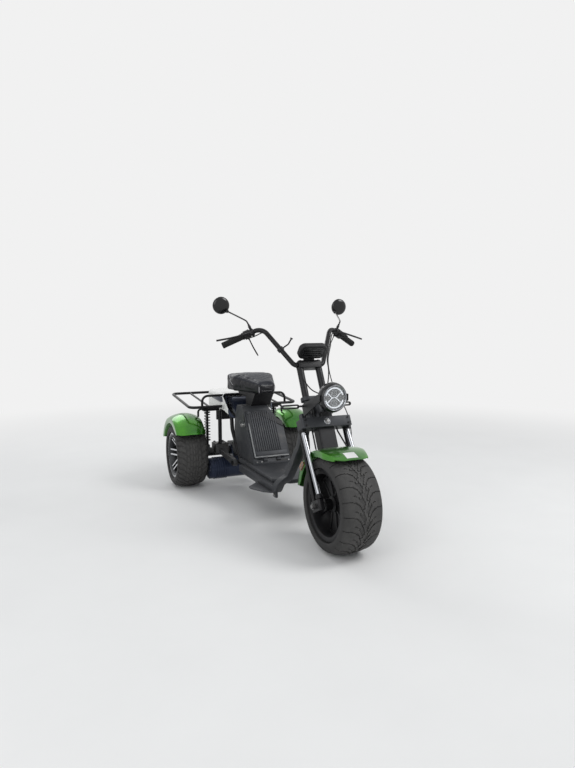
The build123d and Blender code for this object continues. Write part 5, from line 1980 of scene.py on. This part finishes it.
    def piping(self, pad: bpy.types.Object) -> None:
        """Pale piping along the rear seam and the nose's corners, sewn lines on top, nose stitching."""
        low, high = self.low, self.high
        rear = self.wrap(pad, lambda x, z: self.rear_seam(z), 4, 176, 60)
        cords = [pipe("rear_welt", rear, 0.0019, True, 3)]
        tree = BVHTree.FromObject(pad, bpy.context.evaluated_depsgraph_get())
        for side in (-1, 1):
            edge = []
            for step in range(16):
                z = low.z + 0.008 + (high.z - 0.064 - low.z) * step / 15
                way = Vector((side * 0.80, -0.60, 0))
                hit, _, _, _ = tree.ray_cast(Vector((side * 0.030, low.y + 0.030, z)) + way * 0.3, -way)
                if hit is not None:
                    edge.append(tuple(hit + way * 0.0006))
            cords.append(pipe(f"nose_welt_{side}", edge, 0.0017, True, 3))
        settle(join("seat_welts", cords), Body.CHASSIS, Finish.PIPING)
        lines = []
        for index in range(4):
            path = []
            for step in range(25):
                x = -0.062 + 0.124 * step / 24
                above = Vector((x, self.quilts(x)[index], high.z + 0.1))
                hit, normal, _, _ = tree.ray_cast(above, Vector((0, 0, -1)))
                if hit is not None:
                    path.append(tuple(hit + normal * 0.0002))
            lines.append(pipe(f"quilt_{index}", path, 0.0008, False, 2))
        settle(join("quilt_lines", lines), Body.CHASSIS, Finish.THREAD)
        stitches = []
        for row in (0.018, 0.052):
            path = []
            for step in range(19):
                x = -0.036 + 0.072 * step / 18
                hit, normal, _, _ = tree.ray_cast(Vector((x, low.y - 0.1, low.z + row)), Vector((0, 1, 0)))
                if hit is not None:
                    path.append(tuple(hit + normal * 0.0004))
            for index in range(0, len(path) - 1, 2):
                stitches.append(
                    pipe(f"stitch_{row}_{index}", [path[index], path[index + 1]], 0.0008, False, 2)
                )
        settle(join("nose_stitches", stitches), Body.CHASSIS, Finish.PIPING)


@dataclass
class Chassis:
    """Frame trim: beams, deck, foot plates and their screws."""

    deck_top: float = 0.250

    def build(self) -> None:
        """Model the frame's pieces."""
        for node, name, width in (
            ("frame_beams", "frame_rails", 0.004), ("deck_plate", "deck_tray", 0.003),
            ("foot_rests", "foot_plates", 0.003), ("head_tube", "steering_head", 0.003),
            ("front_caliper", "brake_caliper", 0.002), ("fork_sliders", "fork_feet", 0.002),
        ):
            body = Body.CHASSIS if node in (
                "frame_beams", "deck_plate", "foot_rests", "head_tube",
            ) else Body.STEERING
            finish = NODE_FINISHES[node]
            settle(rounded_copy(node, name, width, 2), body, finish, [node])
        axle = PLACES.front_hub.y
        spots = [
            ((x, axle + y, self.deck_top), (0, 0, 1))
            for x, y in ((-0.012, 0.686), (-0.075, 0.520), (0.075, 0.520))
        ]
        settle(socket_heads("deck_screws", spots, 0.0052, 0.0035), Body.CHASSIS, Finish.ZINC)
        lugs = [((side * 0.1602, axle + 0.448, 0.184), (side, 0, 0)) for side in (-1, 1)]
        settle(hex_heads("lug_bolts", lugs, 0.0085, 0.006), Body.CHASSIS, Finish.ZINC)


@dataclass
class Suspension:
    """Rear suspension: coil springs, cast blocks and the motor's cover."""

    turns: int = 9
    coil_r: float = 0.0178
    wire_r: float = 0.0032

    def build(self) -> None:
        """Model the suspension."""
        self.springs()
        block = rounded_copy("axle_housing", "axle_casting", 0.004, 2)
        settle(block, Body.CHASSIS, Finish.CAST, ["axle_housing"])
        hub = PLACES.rear_hub
        spots = []
        for side in (-1, 1):
            for x in (0.115, 0.175):
                for y in (-0.066, 0.006):
                    spots.append(((side * x, hub.y + y, hub.z + 0.0652), (0, 0, 1)))
        settle(hex_heads("block_bolts", spots, 0.008, 0.008), Body.CHASSIS, Finish.ZINC)
        self.motor()

    def springs(self) -> None:
        """Coil springs round the outer shock absorbers."""
        low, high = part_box("shock_springs")
        centre = Vector((high.x - 0.021, (low.y + high.y) / 2, 0))
        bottom, top = low.z + 0.010, high.z - 0.010
        points = []
        count = self.turns * 20
        for step in range(count + 1):
            share = step / count
            angle = math.tau * self.turns * share
            points.append(
                (
                    centre.x + self.coil_r * math.cos(angle), centre.y + self.coil_r * math.sin(angle),
                    bottom + (top - bottom) * share,
                )
            )
        coil = pipe("coil", points, self.wire_r, False, 3)
        seats = []
        for z, way in ((low.z, 1), (high.z, -1)):
            seats.append(
                lathe(
                    f"seat_{way}", ((0, 0.0083), (0, 0.021), (0.005, 0.021), (0.008, 0.016), (0.008, 0.0083)),
                    (centre.x, centre.y, z), (0, 0, way), 32, zero=(1, 0, 0),
                )
            )
        left = join("coil_spring_left", [coil, *seats])
        right = twin(left, "coil_spring_right")
        settle(left, Body.CHASSIS, Finish.BLACK, ["shock_springs"])
        settle(right, Body.CHASSIS, Finish.BLACK, ["shock_springs"])

    def motor(self) -> None:
        """Stepped end cover of the motor with its screws and cooling rings."""
        low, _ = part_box("drive_motor")
        hub = PLACES.rear_hub
        centre = (low.x, hub.y - 0.118, 0.128)
        section = (
            (0, 0), (0, 0.064), (0.003, 0.066), (0.006, 0.064), (0.008, 0.050), (0.0105, 0.048),
            (0.0105, 0.026),
            (0.013, 0.024), (0.013, 0),
        )
        # The motor's cover and rings are black with a painted blue sky reflection, through the blue-black finish.
        cover = lathe("motor_cover", section, centre, (-1, 0, 0), 64)
        settle(cover, Body.CHASSIS, Finish.BLUE_SHADE_AND_SKY_REFLECTION)
        rings = []
        for index in range(6):
            at = (low.x + 0.030 + 0.016 * index, centre[1], centre[2])
            rings.append(
                lathe(
                    f"ring_{index}", ((0, 0.069), (0, 0.0745), (0.005, 0.0745), (0.005, 0.069)), at,
                    (1, 0, 0), 64,
                )
            )
        settle(join("motor_rings", rings), Body.CHASSIS, Finish.BLUE_SHADE_AND_SKY_REFLECTION)
        spots = []
        for index in range(6):
            angle = math.tau * index / 6
            spots.append(
                (
                    (
                        low.x - 0.0055, centre[1] + 0.057 * math.cos(angle),
                        centre[2] + 0.057 * math.sin(angle),
                    ),
                    (-1, 0, 0),
                )
            )
        settle(socket_heads("motor_screws", spots, 0.0045, 0.004), Body.CHASSIS, Finish.ZINC)


@dataclass
class Tail:
    """Tail: white cowl with the seat's shadow painted on as dark blue flank panels, tail lamp and the bare plate.
    """

    def build(self) -> None:
        """Model the tail."""
        low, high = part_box("tail_cowl")
        beam = PLACES.rear_hub.z + 0.312
        cowl = rounded_copy("tail_cowl", "cowl_shell", 0.006, 3)
        inner = high.x - 0.009

        def inside(face: bpy.types.MeshPolygon) -> bool:
            """Inner faces of the shell's skins, which get painted shade."""
            spot = face.center
            return abs(spot.x) < inner and spot.z < high.z - 0.009

        settle(cowl, Body.CHASSIS, Finish.WHITE, ["tail_cowl"])
        # Painted shade: the white shell's inner faces are coloured dark blue.
        paint_faces(cowl, Finish.BLUE_SHADE_AND_SKY_REFLECTION, inside)
        # The cowl's core is dark blue as painted shade inside the white shell.
        settle(
            rounded_copy("cowl_core", "cowl_inner", 0.004, 3), Body.CHASSIS, Finish.BLUE_SHADE_AND_SKY_REFLECTION,
            ["cowl_core"],
        )
        # Painted shadow: the seat's shadow on the white cowl, drawn as thin dark blue panels on both flanks.
        outline = (
            (low.y + 0.135, high.z - 0.022), (low.y + 0.330, high.z - 0.026), (low.y + 0.368, high.z - 0.050),
            (low.y + 0.175, high.z - 0.062), (low.y + 0.118, high.z - 0.052),
        )
        panels = []
        for side in (-1, 1):
            plane = facing((side * high.x, 0, 0), (side, 0, 0), (0, 1, 0))
            flip = 1 if (plane.to_3x3() @ Vector((0, 1, 0))).z > 0 else -1
            panels.append(prism(f"flank_{side}", [(y, z * flip) for y, z in outline], plane, 0.0012, 0.0004))
        settle(join("painted_seat_shadow_panels", panels), Body.CHASSIS, Finish.BLUE_SHADE_AND_SKY_REFLECTION)
        lamp_low, lamp_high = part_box("tail_lamp")
        lamp = rounded_copy("tail_lamp", "tail_lamp_lens", 0.003, 3)
        settle(lamp, Body.CHASSIS, Finish.RED, ["tail_lamp"])
        middle = (lamp_low + lamp_high) / 2
        plane = facing((0, lamp_low.y, middle.z), (0, 1, 0), (1, 0, 0))
        rim = prism("lamp_frame", rounded(0.122, 0.046, 0.014), plane, 0.006, 0.0015)
        settle(rim, Body.CHASSIS, Finish.MATT_BLACK)
        plate_low, plate_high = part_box("plate_carrier")
        bare = facing((0, plate_high.y, (plate_low.z + plate_high.z) / 2 - 0.016), (0, 1, 0), (1, 0, 0))
        plate = prism("blank_plate", rounded(0.160, 0.092, 0.006), bare, 0.0015, 0.0005)
        settle(plate, Body.CHASSIS, Finish.LABEL)
        spots = []
        for side in (-1, 1):
            spots.append(((side * 0.112, PLACES.rear_hub.y - 0.141, beam + 0.0325), (0, 0, 1)))
        settle(hex_heads("rack_bolts", spots, 0.006, 0.005), Body.CHASSIS, Finish.ZINC)


def main() -> None:
    """Build the scooter's sub-assemblies in order."""
    logging.basicConfig(level=logging.INFO, format="%(message)s")
    Stage().build()
    for node, finish in NODE_FINISHES.items():
        dress_node(node, finish)
    for part in (
        FrontWheel(),
        RearWheel(Side.RIGHT, Body.REAR_RIGHT, "right"),
        RearWheel(Side.LEFT, Body.REAR_LEFT, "left"),
        Fenders(),
        FrontEnd(),
        Headlight(),
        Cockpit(),
        Chassis(),
        BatteryHousing(),
        Saddle(),
        Suspension(),
        Tail(),
    ):
        part.build()


if __name__ == "__main__":
    main()
